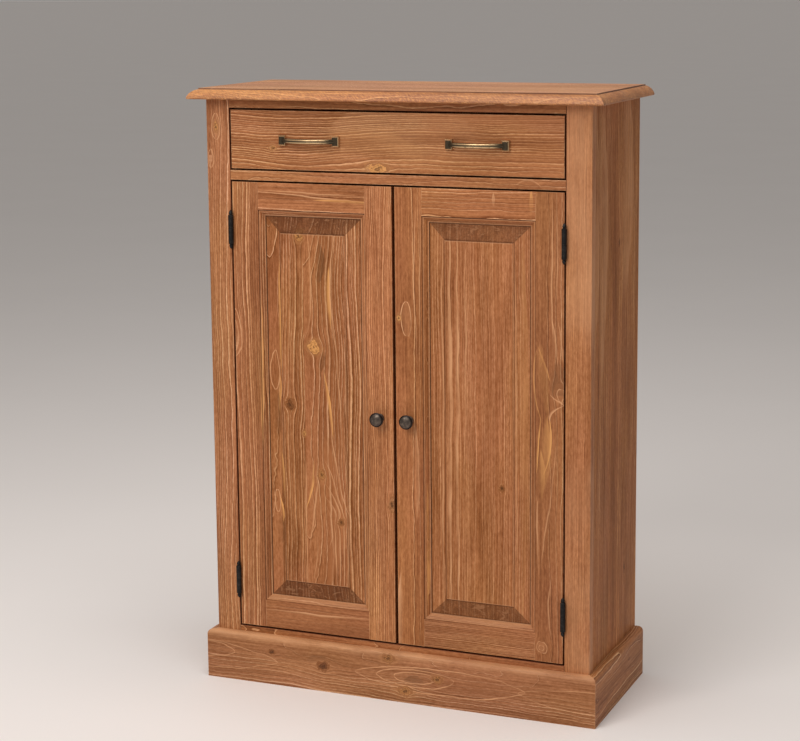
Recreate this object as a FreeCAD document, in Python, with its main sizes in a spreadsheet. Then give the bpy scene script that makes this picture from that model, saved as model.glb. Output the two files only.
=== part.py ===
# A highboard in stained softwood: one drawer over two framed doors with raised panels.
# Frame: +Z up, the front faces -Y, the origin is on the floor under the middle of the top.
import FreeCAD
import Part
import Sketcher

import math
import os
import re

doc = FreeCAD.newDocument("Highboard")

# Driving sizes in millimetres: alias, value, meaning.
driving_sizes = (
    ("body_width", 820, "across the outer faces of the sides"),
    ("body_depth", 326, "from the front of the stiles to the back"),
    ("overall_height", 1245, "floor to the upper face of the top"),
    ("arris", 1.2, "radius of an eased edge"),
    ("cut_clear", 5, "how far a cutting outline runs past the wood"),
    ("top_thickness", 22, "top board"),
    ("top_overhang", 30, "top past the stiles and the sides"),
    ("thumb_inset", 19, "width of the thumbnail moulding"),
    ("thumb_step", 2.5, "small square step above the moulding"),
    ("thumb_radius", 24, "round of the moulding"),
    ("nose_radius", 3, "round under the nose of the moulding"),
    ("stile_width", 52, "front stile"),
    ("frame_thickness", 22, "stiles, rails and doors"),
    ("top_rail_height", 18, "rail over the drawer"),
    ("middle_rail_height", 20, "rail between drawer and doors"),
    ("bottom_rail_height", 30, "rail under the doors"),
    ("bottom_rail_reveal", 12, "bottom rail seen above the plinth"),
    ("rail_gap", 0.4, "open joint at each end of a rail"),
    ("tenon_length", 15, "rail tenon"),
    ("tenon_thickness", 8, "rail tenon"),
    ("tenon_shoulder", 4, "rail wood above and below its tenon"),
    ("drawer_opening", 126, "height between top rail and middle rail"),
    ("side_thickness", 20, "side panel"),
    ("shelf_thickness", 18, "floor, divider and shelves"),
    ("dado_depth", 6, "housing of floor and divider in the sides"),
    ("plinth_height", 103, "plinth boards"),
    ("plinth_thickness", 18, "plinth boards"),
    ("plinth_round", 10, "round along the upper edge of the plinth"),
    ("block_width", 30, "glue block in a plinth corner"),
    ("block_height", 70, "glue block in a plinth corner"),
    ("back_thickness", 12, "back board"),
    ("back_rabbet", 10, "back boards let into the sides"),
    ("back_boards", 5, "number of back boards"),
    ("board_gap", 0.5, "open joint between back boards"),
    ("board_bevel", 2, "bevel along a back board"),
    ("tongue_depth", 6, "tongue of a back board"),
    ("tongue_thickness", 4, "tongue of a back board"),
    ("tongue_play", 0.2, "groove round the tongue"),
    ("back_screw_radius", 1.75, "shank of a back screw"),
    ("back_screw_head", 3.5, "head radius of a back screw"),
    ("back_screw_length", 26, "back screw"),
    ("back_screw_inset", 30, "back screw from the edge of its board"),
    ("shelf_play", 0.8, "shelf to each side panel"),
    ("shelf_setback", 12, "shelf behind the doors"),
    ("shelf_back_gap", 3, "shelf to the back boards"),
    ("lower_shelf_rise", 300, "lower shelf pins above the floor panel"),
    ("upper_shelf_drop", 336, "upper shelf pins under the divider"),
    ("pin_radius", 3, "shelf pin"),
    ("pin_play", 0.05, "hole round a shelf pin"),
    ("pin_reach", 8, "shelf pin out of the side, and into it"),
    ("pin_pitch", 32, "from one pin hole to the next"),
    ("pin_inset", 40, "pins from the ends of the shelf"),
    ("drawer_gap", 3, "drawer front to each stile"),
    ("drawer_end_gap", 3.5, "drawer front to the rails"),
    ("drawer_front_thickness", 20, "drawer front"),
    ("drawer_setback", 1, "drawer side inside the end of its front"),
    ("drawer_side_thickness", 12, "drawer side and back"),
    ("drawer_side_drop", 17, "drawer side under the upper edge of its front"),
    ("drawer_back_gap", 29, "drawer side to the back boards"),
    ("drawer_run_gap", 0.3, "drawer side over the divider"),
    ("drawer_bottom_thickness", 5, "drawer bottom panel"),
    ("drawer_bottom_rise", 9, "drawer bottom over the lower edge of the sides"),
    ("drawer_groove", 5, "drawer bottom and back let into the sides"),
    ("drawer_back_inset", 10, "drawer back from the ends of the sides"),
    ("drawer_back_drop", 6, "drawer back under the upper edge of the sides"),
    ("tail_lap", 8, "drawer front before the dovetails"),
    ("tail_width", 24, "dovetail at its end"),
    ("tail_waist", 19, "dovetail at its root"),
    ("tail_count", 3, "dovetails at each front corner"),
    ("guide_play", 0.6, "drawer side to its guide"),
    ("guide_height", 30, "drawer guide"),
    ("kicker_play", 3, "drawer side to the kicker above it"),
    ("kicker_overlap", 24, "kicker over the drawer"),
    ("stop_length", 40, "drawer stop along the front"),
    ("stop_depth", 12, "drawer stop"),
    ("stop_clear", 1.3, "drawer stop under the drawer bottom"),
    ("stop_spread", 200, "drawer stop from the middle"),
    ("stop_play", 0.2, "drawer front to its stop"),
    ("handle_spacing", 117, "between the rosettes of one handle"),
    ("handle_offset", 179, "handle from the middle of the drawer"),
    ("handle_projection", 27, "handle in front of the drawer"),
    ("bow_height", 9, "handle bar"),
    ("bow_depth", 7, "handle bar"),
    ("bow_round", 2.2, "round along the front edges of the bar"),
    ("bow_groove_width", 3.4, "groove along the front of the bar"),
    ("bow_groove_depth", 0.9, "groove along the front of the bar"),
    ("rosette_width", 15, "rosette"),
    ("rosette_height", 21, "rosette"),
    ("rosette_thickness", 9, "rosette"),
    ("rosette_bevel", 3, "bevel round a rosette"),
    ("handle_screw_radius", 2, "shank of a handle screw"),
    ("handle_screw_head", 4, "head radius of a handle screw"),
    ("handle_screw_crown", 2.4, "head height of a handle screw"),
    ("handle_screw_grip", 6, "handle screw inside the rosette"),
    ("door_gap", 3, "door to the stile"),
    ("doors_gap", 6, "between the two doors"),
    ("door_end_gap", 3.5, "door to the rails"),
    ("door_stile_flat", 58, "flat width of a door stile"),
    ("door_top_flat", 56, "flat width of the upper door rail"),
    ("door_bottom_flat", 58, "flat width of the lower door rail"),
    ("quirk", 1.6, "step between the flat and the moulding"),
    ("ovolo_width", 9, "round of the door moulding"),
    ("fillet_drop", 1.2, "step between the round and the panel"),
    ("fillet_width", 3.5, "flat beside the panel"),
    ("panel_lip", 1.2, "wood between the moulding and the groove"),
    ("panel_back_wall", 4, "wood behind the panel groove"),
    ("panel_groove_width", 8, "panel groove"),
    ("panel_groove_depth", 9, "panel groove"),
    ("panel_play", 0.5, "panel edge to the bottom of its groove"),
    ("panel_face_play", 0.1, "panel faces to the walls of its groove"),
    ("panel_ledge", 0.6, "flat of the panel seen beside the frame"),
    ("bevel_width", 32, "sloping border of the door panel"),
    ("bevel_rise", 4.2, "rise of the sloping border"),
    ("field_step", 2.4, "step round the raised field"),
    ("field_cove", 3, "width of the step round the raised field"),
    ("hinge_inset", 98, "middle of a hinge from the door's end"),
    ("hinge_radius", 5.2, "hinge barrel"),
    ("hinge_clear", 0.4, "hinge barrel to the front of the doors"),
    ("hinge_half", 29, "height of one half of the barrel"),
    ("hinge_split", 0.4, "between the halves of the barrel"),
    ("hinge_wall", 3, "closed end of the barrel"),
    ("finial_tip", 5.6, "pointed end of the barrel"),
    ("finial_round", 8, "curve of the pointed end"),
    ("finial_radius", 3.8, "bulb under the pointed end"),
    ("finial_neck", 2.9, "radius of the neck under the bulb"),
    ("finial_neck_height", 1.6, "neck under the bulb"),
    ("hinge_pin_radius", 2.4, "hinge pin"),
    ("hinge_pin_play", 0.06, "barrel round the pin"),
    ("hinge_pin_end", 0.5, "upper end of the pin to the end of its bore"),
    ("leaf_thickness", 1.3, "hinge leaf"),
    ("leaf_width", 16, "hinge leaf behind the front"),
    ("leaf_root", 0.9, "leaf into the wall of the barrel"),
    ("hinge_screw_radius", 1.4, "shank of a hinge screw"),
    ("hinge_screw_head", 2.7, "head radius of a hinge screw"),
    ("hinge_screw_length", 14, "hinge screw"),
    ("hinge_screw_inset", 7, "hinge screw from the end of its leaf"),
    ("hinge_screw_setback", 9, "hinge screw behind the front"),
    ("knob_radius", 14.5, "knob"),
    ("knob_projection", 26, "knob in front of the door"),
    ("knob_dome", 5, "rise of the knob's face"),
    ("knob_rim", 2, "rim of the knob"),
    ("knob_flare", 8, "height of the underside of the head"),
    ("knob_belly", 9, "curve of the underside of the head"),
    ("knob_neck", 5.5, "radius of the knob's neck"),
    ("knob_sweep", 9, "curve from the foot to the neck"),
    ("knob_base_radius", 9, "foot of the knob"),
    ("knob_base_height", 2.5, "foot of the knob"),
    ("knob_stud_radius", 2.5, "threaded stud of the knob"),
    ("knob_stud_length", 17, "threaded stud of the knob"),
    ("catch_length", 44, "magnet catch"),
    ("catch_depth", 14, "magnet catch"),
    ("catch_height", 18, "magnet catch"),
    ("catch_offset", 42, "magnet catch from the middle"),
    ("catch_play", 0.3, "magnet catch to its plate"),
    ("plate_length", 36, "strike plate"),
    ("plate_height", 10, "strike plate"),
    ("plate_thickness", 1.5, "strike plate"),
    ("plate_inset", 1, "strike plate under the door's upper edge"),
)

sizes = doc.addObject("Spreadsheet::Sheet", "Sizes")
for row, (alias, value, meaning) in enumerate(driving_sizes, start=1):
    sizes.set(f"A{row}", alias)
    sizes.set(f"B{row}", str(value))
    sizes.set(f"C{row}", meaning)
    sizes.setAlias(f"B{row}", alias)
doc.recompute()
aliases = {alias for alias, value, meaning in driving_sizes}

# Places worked out from the sizes.
overall_depth = "(body_depth + top_overhang)"
front = "((top_overhang - body_depth) / 2)"
back = "((top_overhang + body_depth) / 2)"
half_body = "(body_width / 2)"
half_inside = f"({half_body} - side_thickness)"
half_opening = f"({half_body} - stile_width)"
frame_back = f"({front} + frame_thickness)"
boards_front = f"({back} - back_thickness)"
half_back = f"({half_inside} + back_rabbet)"
top_underside = "(overall_height - top_thickness)"
drawer_ceiling = f"({top_underside} - top_rail_height)"
drawer_floor = f"({drawer_ceiling} - drawer_opening)"
doors_ceiling = f"({drawer_floor} - middle_rail_height)"
doors_floor = "(plinth_height + bottom_rail_reveal)"
floor_underside = f"({doors_floor} - shelf_thickness)"
divider_underside = f"({drawer_floor} - shelf_thickness)"

door_low = f"({doors_floor} + door_end_gap)"
door_high = f"({doors_ceiling} - door_end_gap)"
door_height = f"({door_high} - {door_low})"
door_edge = f"({half_opening} - door_gap)"
door_width = f"({door_edge} - doors_gap / 2)"
moulding_width = "(ovolo_width + fillet_width)"
panel_setback = "(frame_thickness - panel_back_wall - panel_groove_width)"
moulding_depth = f"({panel_setback} - panel_lip)"
ovolo_low = f"({moulding_depth} - fillet_drop)"
ovolo_drop = f"({ovolo_low} - quirk)"
ovolo_radius = f"((ovolo_width ^ 2 + {ovolo_drop} ^ 2) / (2 * {ovolo_drop}))"
panel_grip = "(panel_groove_depth - panel_play)"

drawer_front_low = f"({drawer_floor} + drawer_end_gap)"
drawer_front_high = f"({drawer_ceiling} - drawer_end_gap)"
drawer_front_half = f"({half_opening} - drawer_gap)"
drawer_front_back = f"({front} + drawer_front_thickness)"
drawer_half = f"({drawer_front_half} - drawer_setback)"
drawer_half_inside = f"({drawer_half} - drawer_side_thickness)"
drawer_low = f"({drawer_floor} + drawer_run_gap)"
drawer_high = f"({drawer_front_high} - drawer_side_drop)"
drawer_end = f"({boards_front} - drawer_back_gap)"
drawer_bottom_low = f"({drawer_low} + drawer_bottom_rise)"
drawer_bottom_high = f"({drawer_bottom_low} + drawer_bottom_thickness)"
drawer_back_end = f"({drawer_end} - drawer_back_inset)"
drawer_middle = f"(({drawer_front_low} + {drawer_front_high}) / 2)"
runners_front = f"max({frame_back}; {drawer_front_back} + stop_play)"

hinge_x = f"({half_opening} - door_gap / 2)"
hinge_y = f"({front} - hinge_radius - hinge_clear)"
hinge_heights = {"lower": f"({door_low} + hinge_inset)", "upper": f"({door_high} - hinge_inset)"}
bore_radius = "(hinge_pin_radius + hinge_pin_play)"
barrel_end = "(hinge_split / 2 + hinge_half)"
bore_end = f"({barrel_end} - hinge_wall)"

x_axis = FreeCAD.Vector(1, 0, 0)
y_axis = FreeCAD.Vector(0, 1, 0)
z_axis = FreeCAD.Vector(0, 0, 1)
left_turn = 1
right_turn = -1
both_sides = (("left", -1), ("right", 1))
nodes = {}


def bound(text):
    """The text as an expression on the sheet: each alias gets the sheet's name."""
    return re.sub(r"[a-z_]+", lambda word: f"Sizes.{word[0]}" if word[0] in aliases else word[0], text)


def number(text):
    """The present value of an expression."""
    return float(sizes.evalExpression(bound(text)))


def bind(thing, values):
    """Bind properties of one object to expressions."""
    for name, text in values.items():
        thing.setExpression(name, bound(text))


def place(thing, x, y, z, axis=z_axis, angle=0):
    """Turn an object about an axis and bind its place."""
    thing.Placement = FreeCAD.Placement(FreeCAD.Vector(), FreeCAD.Rotation(axis, angle))
    bind(thing, {"Placement.Base.x": x, "Placement.Base.y": y, "Placement.Base.z": z})
    return thing


def keep(label, thing):
    """Name a finished sub-part, so that it is written out."""
    thing.Label = label
    nodes[label] = thing
    return thing


def on_side(sign, distance):
    """X at a distance from the middle, on the left or the right."""
    return f"({sign} * {distance})"


def span_on_side(sign, near, far):
    """Lowest X of a span between two distances from the middle."""
    return near if sign > 0 else f"(-{far})"


def edges_on(shape, sides):
    """Names of the straight edges that lie on all the given sides of a shape's box."""
    box = shape.BoundBox
    planes = {
        "left": (0, box.XMin), "right": (0, box.XMax),
        "front": (1, box.YMin), "back": (1, box.YMax),
        "low": (2, box.ZMin), "high": (2, box.ZMax),
    }
    found = []
    for index, edge in enumerate(shape.Edges, start=1):
        ends = [vertex.Point for vertex in edge.Vertexes]
        if all(abs(end[planes[side][0]] - planes[side][1]) < 1e-6 for side in sides for end in ends):
            found.append(f"Edge{index}")
    return found


def new_body(name):
    return doc.addObject("PartDesign::Body", name)


def add_box(body, size, low=("0", "0", "0")):
    """One box inside a body."""
    box = body.newObject("PartDesign::AdditiveBox", f"{body.Name}_box")
    bind(box, {"Length": size[0], "Width": size[1], "Height": size[2]})
    return place(box, *low)


def dress(body, base, kind, size, corners):
    """Round or bevel the edges of a box that lie on the named pairs of sides."""
    doc.recompute()
    feature = body.newObject(f"PartDesign::{kind}", f"{body.Name}_{kind}")
    feature.Base = (base, [name for sides in corners for name in edges_on(base.Shape, sides)])
    bind(feature, {"Radius" if kind == "Fillet" else "Size": size})


def board(name, low, high, eased=()):
    """A plain board between two corners, with the named edges eased."""
    body = new_body(name)
    box = add_box(body, [f"{high[at]} - {low[at]}" for at in range(3)])
    if eased:
        dress(body, box, "Fillet", "arris", eased)
    return place(body, *low)


def rod(name, radius, length, x, y, z, axis=z_axis, angle=0):
    """A round bar that starts at a point and runs along its turned Z axis."""
    bar = doc.addObject("Part::Cylinder", name)
    bind(bar, {"Radius": radius, "Height": length})
    return place(bar, x, y, z, axis, angle)


def group(name, members):
    """Several solids as one object."""
    together = doc.addObject("Part::Compound", name)
    together.Links = list(members)
    return together


def cut(name, base, tools):
    """A base with the given tools taken out of it."""
    result = doc.addObject("Part::Cut", name)
    result.Base = base
    result.Tool = tools[0] if len(tools) == 1 else group(f"{name}_tools", tools)
    return result


def sketch_on(body, role):
    """An empty sketch on one of the body's own origin planes."""
    plane = next(item for item in body.Origin.OriginFeatures if item.Role == role)
    sketch = body.newObject("Sketcher::SketchObject", f"{body.Name}_section")
    sketch.AttachmentSupport = [(plane, "")]
    sketch.MapMode = "FlatFace"
    return sketch


def arc_between(start, end, radius, turn):
    """The shorter arc from start to end, turning left or right."""
    chord = end - start
    height = math.sqrt(radius * radius - chord.Length * chord.Length / 4)
    inward = FreeCAD.Vector(-chord.y, chord.x, 0).normalize() * turn
    centre = (start + end) / 2 + inward * height
    first, last = (start, end) if turn == left_turn else (end, start)
    angles = [math.atan2(point.y - centre.y, point.x - centre.x) for point in (first, last)]
    return Part.ArcOfCircle(Part.Circle(centre, z_axis, radius), *angles)


def outline(sketch, corners):
    """
    A closed outline whose corners are bound to expressions. A corner is (x, y), or
    (x, y, radius, turn) where an arc leads to it from the corner before.
    """
    count = len(corners)
    points = [FreeCAD.Vector(number(corner[0]), number(corner[1]), 0) for corner in corners]
    ends = []
    for index in range(count):
        following = (index + 1) % count
        target = corners[following]
        if len(target) == 2:
            sketch.addGeometry(Part.LineSegment(points[index], points[following]), False)
            ends.append((1, 2))
            continue
        x, y, radius, turn = target
        sketch.addGeometry(arc_between(points[index], points[following], number(radius), turn), False)
        ends.append((1, 2) if turn == left_turn else (2, 1))
        item = sketch.addConstraint(Sketcher.Constraint("Radius", index, number(radius)))
        sketch.renameConstraint(item, f"radius_{index}")
        bind(sketch, {f"Constraints.radius_{index}": radius})
    for index in range(count):
        following = (index + 1) % count
        joint = Sketcher.Constraint("Coincident", index, ends[index][1], following, ends[following][0])
        sketch.addConstraint(joint)
        for at, kind in enumerate(("DistanceX", "DistanceY")):
            value = points[index][at]
            item = sketch.addConstraint(Sketcher.Constraint(kind, -1, 1, index, ends[index][0], value))
            sketch.renameConstraint(item, f"{kind}_{index}")
            bind(sketch, {f"Constraints.{kind}_{index}": corners[index][at]})
    return sketch


def pad(body, role, corners, length, both_ways=False, backwards=False):
    """Extrude a closed outline drawn on an origin plane."""
    section = outline(sketch_on(body, role), corners)
    feature = body.newObject("PartDesign::Pad", f"{body.Name}_pad")
    feature.Profile = section
    feature.SideType = "Symmetric" if both_ways else "One side"
    feature.Reversed = backwards
    bind(feature, {"Length": length})


def pocket(body, role, corners):
    """Cut a closed outline through the whole body, both ways from an origin plane."""
    section = outline(sketch_on(body, role), corners)
    feature = body.newObject("PartDesign::Pocket", f"{body.Name}_pocket")
    feature.Profile = section
    feature.Type = "ThroughAll"
    feature.SideType = "Symmetric"


def turned(name, corners):
    """A turned piece: a half section of (radius, height) about the body's Z axis."""
    body = new_body(name)
    section = outline(sketch_on(body, "XZ_Plane"), corners)
    feature = body.newObject("PartDesign::Revolution", f"{name}_turn")
    feature.Profile = section
    feature.ReferenceAxis = (section, ["V_Axis"])
    feature.Angle = 360
    return body


def flat_head_screw(name, kind):
    """A countersunk screw: the head's face at Z 0, the point up."""
    radius = f"{kind}_radius"
    return turned(name, [
        ("0", "0"),
        (f"{kind}_head", "0"),
        (radius, f"{kind}_head - {radius}"),
        (radius, f"{kind}_length - 2 * {radius}"),
        ("0", f"{kind}_length"),
    ])


# Top: a board with a thumbnail moulding along the front and both ends.
half_top = f"({half_body} + top_overhang)"
thumb_low = "top_thickness - thumb_step"
top_panel = new_body("top_panel")
pad(top_panel, "XZ_Plane", [
    (f"nose_radius - {half_top}", "0", "nose_radius", left_turn),
    (f"{half_top} - nose_radius", "0"),
    (half_top, "nose_radius", "nose_radius", left_turn),
    (f"{half_top} - thumb_inset", thumb_low, "thumb_radius", left_turn),
    (f"{half_top} - thumb_inset", "top_thickness"),
    (f"thumb_inset - {half_top}", "top_thickness"),
    (f"thumb_inset - {half_top}", thumb_low),
    (f"-{half_top}", "nose_radius", "thumb_radius", left_turn),
], overall_depth, backwards=True)
pocket(top_panel, "YZ_Plane", [
    ("nose_radius", "0"),
    ("0", "nose_radius", "nose_radius", right_turn),
    ("thumb_inset", thumb_low, "thumb_radius", right_turn),
    ("thumb_inset", "top_thickness + cut_clear"),
    ("-cut_clear", "top_thickness + cut_clear"),
    ("-cut_clear", "-cut_clear"),
    ("nose_radius", "-cut_clear"),
])
place(top_panel, "0", f"-{overall_depth} / 2", top_underside)
keep("top_panel", top_panel)


# Back screws: two for each board, into the floor panel and into the divider.
board_width = f"(2 * {half_back} / back_boards)"
board_count = round(number("back_boards"))
back_screws = []
for index in range(board_count):
    for inset in ("back_screw_inset", f"({board_width} - back_screw_inset)"):
        for panel, underside in (("floor", floor_underside), ("divider", divider_underside)):
            screw = flat_head_screw(f"back_screw_{panel}", "back_screw")
            place(screw, f"{index} * {board_width} + {inset} - {half_back}", back,
                  f"{underside} + shelf_thickness / 2", x_axis, 90)
            back_screws.append(screw)
back_screws = keep("back_screws", group("back_screws", back_screws))

# Floor and divider: panels housed in the sides, screwed from behind.
housed = f"({half_inside} + dado_depth)"
floor_blank = board("floor_blank", (f"-{housed}", frame_back, floor_underside),
                    (housed, boards_front, doors_floor))
divider_blank = board("divider_blank", (f"-{housed}", frame_back, divider_underside),
                      (housed, boards_front, drawer_floor))
keep("floor_panel", cut("floor_panel", floor_blank, [back_screws]))
keep("divider_panel", cut("divider_panel", divider_blank, [back_screws]))


# Back: tongued boards with bevelled edges, let into the sides.
def back_board(index):
    low_x = "(board_gap / 2)"
    high_x = f"({board_width} - board_gap / 2)"
    tongue_low = "(back_thickness - tongue_thickness) / 2"
    tongue_high = "(back_thickness + tongue_thickness) / 2"
    corners = [
        (f"{low_x} + board_bevel", "0"),
        (f"{high_x} - board_bevel", "0"),
        (high_x, "board_bevel"),
    ]
    if index < board_count - 1:
        corners += [
            (high_x, tongue_low),
            (f"{high_x} + tongue_depth", tongue_low),
            (f"{high_x} + tongue_depth", tongue_high),
            (high_x, tongue_high),
        ]
    corners += [
        (high_x, "back_thickness - board_bevel"),
        (f"{high_x} - board_bevel", "back_thickness"),
        (f"{low_x} + board_bevel", "back_thickness"),
        (low_x, "back_thickness - board_bevel"),
    ]
    if index > 0:
        groove_end = f"{low_x} + tongue_depth + tongue_play"
        corners += [
            (low_x, f"{tongue_high} + tongue_play"),
            (groove_end, f"{tongue_high} + tongue_play"),
            (groove_end, f"{tongue_low} - tongue_play"),
            (low_x, f"{tongue_low} - tongue_play"),
        ]
    corners.append((low_x, "board_bevel"))
    name = f"back_board_{index + 1}"
    body = new_body(f"{name}_blank")
    pad(body, "XY_Plane", corners, f"{top_underside} - {floor_underside}")
    place(body, f"{index} * {board_width} - {half_back}", boards_front, floor_underside)
    keep(name, cut(name, body, [back_screws]))


for index in range(board_count):
    back_board(index)

# Shelves on pins, with a spare pin hole above and below each one.
shelf_front = f"({frame_back} + shelf_setback)"
shelf_end = f"({boards_front} - shelf_back_gap)"
half_shelf = f"({half_inside} - shelf_play)"
pin_heights = {
    "lower": f"({doors_floor} + lower_shelf_rise)",
    "upper": f"({divider_underside} - upper_shelf_drop)",
}
shelf_pins = []
pin_holes = {"left": [], "right": []}
for level, height in pin_heights.items():
    shelf_low = f"({height} + pin_radius)"
    shelf = board(f"shelf_{level}", (f"-{half_shelf}", shelf_front, shelf_low),
                  (half_shelf, shelf_end, f"({shelf_low} + shelf_thickness)"),
                  eased=(("front", "low"), ("front", "high")))
    keep(f"shelf_{level}", shelf)
    for side, sign in both_sides:
        for y in (f"{shelf_front} + pin_inset", f"{shelf_end} - pin_inset"):
            shelf_pins.append(rod("shelf_pin", "pin_radius", "2 * pin_reach",
                                  on_side(sign, f"({half_inside} - pin_reach)"), y, height,
                                  y_axis, sign * 90))
            for step in (-1, 0, 1):
                pin_holes[side].append(rod("pin_hole", "pin_radius + pin_play", "pin_reach",
                                           on_side(sign, half_inside), y,
                                           f"{height} + {step} * pin_pitch", y_axis, sign * 90))
keep("shelf_pins", group("shelf_pins", shelf_pins))

# Side panels, with the rabbet for the back and the housings for floor and divider.
rabbet = board("back_rabbet_tool", (f"-{half_back}", boards_front, floor_underside),
               (half_back, back, top_underside))
for side, sign in both_sides:
    x = span_on_side(sign, half_inside, half_body)
    blank = board(f"side_panel_{side}_blank", (x, frame_back, "0"),
                  (f"({x} + side_thickness)", back, top_underside))
    tools = [rabbet, floor_blank, divider_blank] + pin_holes[side]
    keep(f"side_panel_{side}", cut(f"side_panel_{side}", blank, tools))


# Rails of the front, with a tenon at each end.
def front_rail(label, low, high):
    half = f"({half_opening} - rail_gap)"
    height = f"({high} - {low})"
    body = new_body(label)
    box = add_box(body, (f"2 * {half}", "frame_thickness", height), (f"-{half}", "0", "0"))
    dress(body, box, "Fillet", "arris", (("front", "low"), ("front", "high")))
    half_tenon = f"({half_opening} + tenon_length)"
    tenon_size = (f"2 * {half_tenon}", "tenon_thickness", f"{height} - 2 * tenon_shoulder")
    tenon_front = "(frame_thickness - tenon_thickness) / 2"
    add_box(body, tenon_size, (f"-{half_tenon}", tenon_front, "tenon_shoulder"))
    return keep(label, place(body, "0", front, low))


front_rails = [
    front_rail("top_rail", drawer_ceiling, top_underside),
    front_rail("middle_rail", doors_ceiling, drawer_floor),
    front_rail("bottom_rail", f"({doors_floor} - bottom_rail_height)", doors_floor),
]


# Plinth: rounded boards, mitred at the front corners, and a plain board at the back.
plinth_front = new_body("plinth_front")
half_plinth = f"({half_body} + plinth_thickness)"
pad(plinth_front, "YZ_Plane", [
    ("0", "0"),
    ("plinth_thickness", "0"),
    ("plinth_thickness", "plinth_height"),
    ("plinth_round", "plinth_height"),
    ("0", "plinth_height - plinth_round", "plinth_round", left_turn),
], f"2 * {half_plinth}", both_ways=True)
for side, sign in both_sides:
    pocket(plinth_front, "XY_Plane", [
        (on_side(sign, f"({half_plinth} + cut_clear)"), "-cut_clear"),
        (on_side(sign, f"({half_plinth} + cut_clear)"), "plinth_thickness + cut_clear"),
        (on_side(sign, f"({half_body} - cut_clear)"), "plinth_thickness + cut_clear"),
    ])
place(plinth_front, "0", f"{front} - plinth_thickness", "0")
keep("plinth_front", plinth_front)

for side, sign in both_sides:
    plinth_side = new_body(f"plinth_{side}")
    pad(plinth_side, "XZ_Plane", [
        ("0", "0"),
        (on_side(sign, "plinth_thickness"), "0"),
        (on_side(sign, "plinth_thickness"), "plinth_height - plinth_round"),
        (on_side(sign, "(plinth_thickness - plinth_round)"), "plinth_height",
         "plinth_round", sign * left_turn),
        ("0", "plinth_height"),
    ], "body_depth + plinth_thickness", backwards=True)
    pocket(plinth_side, "XY_Plane", [
        (on_side(-sign, "cut_clear"), "-cut_clear"),
        (on_side(sign, "(plinth_thickness + cut_clear)"), "-cut_clear"),
        (on_side(-sign, "cut_clear"), "plinth_thickness + cut_clear"),
    ])
    place(plinth_side, on_side(sign, half_body), f"{front} - plinth_thickness", "0")
    keep(f"plinth_{side}", plinth_side)

plinth_back_front = f"({boards_front} - plinth_thickness)"
keep("plinth_back", board("plinth_back", (f"-{half_inside}", plinth_back_front, "0"),
                          (half_inside, boards_front, floor_underside)))

plinth_blocks = []
for side, sign in both_sides:
    for y in (frame_back, f"({plinth_back_front} - block_width)"):
        x = span_on_side(sign, f"({half_inside} - block_width)", half_inside)
        plinth_blocks.append(board("plinth_block", (x, y, f"({floor_underside} - block_height)"),
                                   (f"({x} + block_width)", f"({y} + block_width)", floor_underside)))
keep("plinth_blocks", group("plinth_blocks", plinth_blocks))

# Drawer works in the carcass: guides beside the drawer, kickers over it and stops behind its front.
guides = []
kickers = []
stops = []
for side, sign in both_sides:
    guide_near = f"({drawer_half} + guide_play)"
    x = span_on_side(sign, guide_near, half_inside)
    guides.append(board(f"drawer_guide_{side}", (x, runners_front, drawer_floor),
                        (f"({x} + {half_inside} - {guide_near})", boards_front,
                         f"({drawer_floor} + guide_height)")))
    kicker_near = f"({drawer_half} - kicker_overlap)"
    x = span_on_side(sign, kicker_near, half_inside)
    kickers.append(board(f"drawer_kicker_{side}", (x, runners_front, f"({drawer_high} + kicker_play)"),
                         (f"({x} + {half_inside} - {kicker_near})", boards_front, top_underside)))
    x = f"({on_side(sign, 'stop_spread')} - stop_length / 2)"
    y = f"({drawer_front_back} + stop_play)"
    stops.append(board(f"drawer_stop_{side}", (x, y, drawer_floor),
                       (f"({x} + stop_length)", f"({y} + stop_depth)",
                        f"({drawer_bottom_low} - stop_clear)")))
keep("drawer_guides", group("drawer_guides", guides))
keep("drawer_kickers", group("drawer_kickers", kickers))
keep("drawer_stops", group("drawer_stops", stops))

# Drawer: back and bottom let into dovetailed sides, behind a thicker front.
drawer_grooved = f"({drawer_half_inside} + drawer_groove)"
drawer_bottom = board("drawer_bottom",
                      (f"-{drawer_grooved}", f"({drawer_front_back} - drawer_groove)", drawer_bottom_low),
                      (drawer_grooved, drawer_back_end, drawer_bottom_high))
drawer_back_front = f"({drawer_back_end} - drawer_side_thickness)"
drawer_back = board("drawer_back", (f"-{drawer_grooved}", drawer_back_front, drawer_bottom_high),
                    (drawer_grooved, drawer_back_end, f"({drawer_high} - drawer_back_drop)"))
keep("drawer_bottom", drawer_bottom)
keep("drawer_back", drawer_back)

drawer_sides = []
for side, sign in both_sides:
    name = f"drawer_side_{side}"
    blank = new_body(f"{name}_blank")
    side_height = f"({drawer_high} - {drawer_low})"
    corners = [(f"{drawer_end} - {front}", "0"), (f"{drawer_end} - {front}", side_height)]
    corners.append(("drawer_front_thickness", side_height))
    for tail in reversed(range(round(number("tail_count")))):
        middle = f"({tail} + 0.5) * {side_height} / tail_count"
        corners += [
            ("drawer_front_thickness", f"{middle} + tail_waist / 2"),
            ("tail_lap", f"{middle} + tail_width / 2"),
            ("tail_lap", f"{middle} - tail_width / 2"),
            ("drawer_front_thickness", f"{middle} - tail_waist / 2"),
        ]
    corners.append(("drawer_front_thickness", "0"))
    pad(blank, "YZ_Plane", corners, "drawer_side_thickness")
    place(blank, span_on_side(sign, drawer_half_inside, drawer_half), front, drawer_low)
    drawer_sides.append(keep(name, cut(name, blank, [drawer_back, drawer_bottom])))


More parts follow.
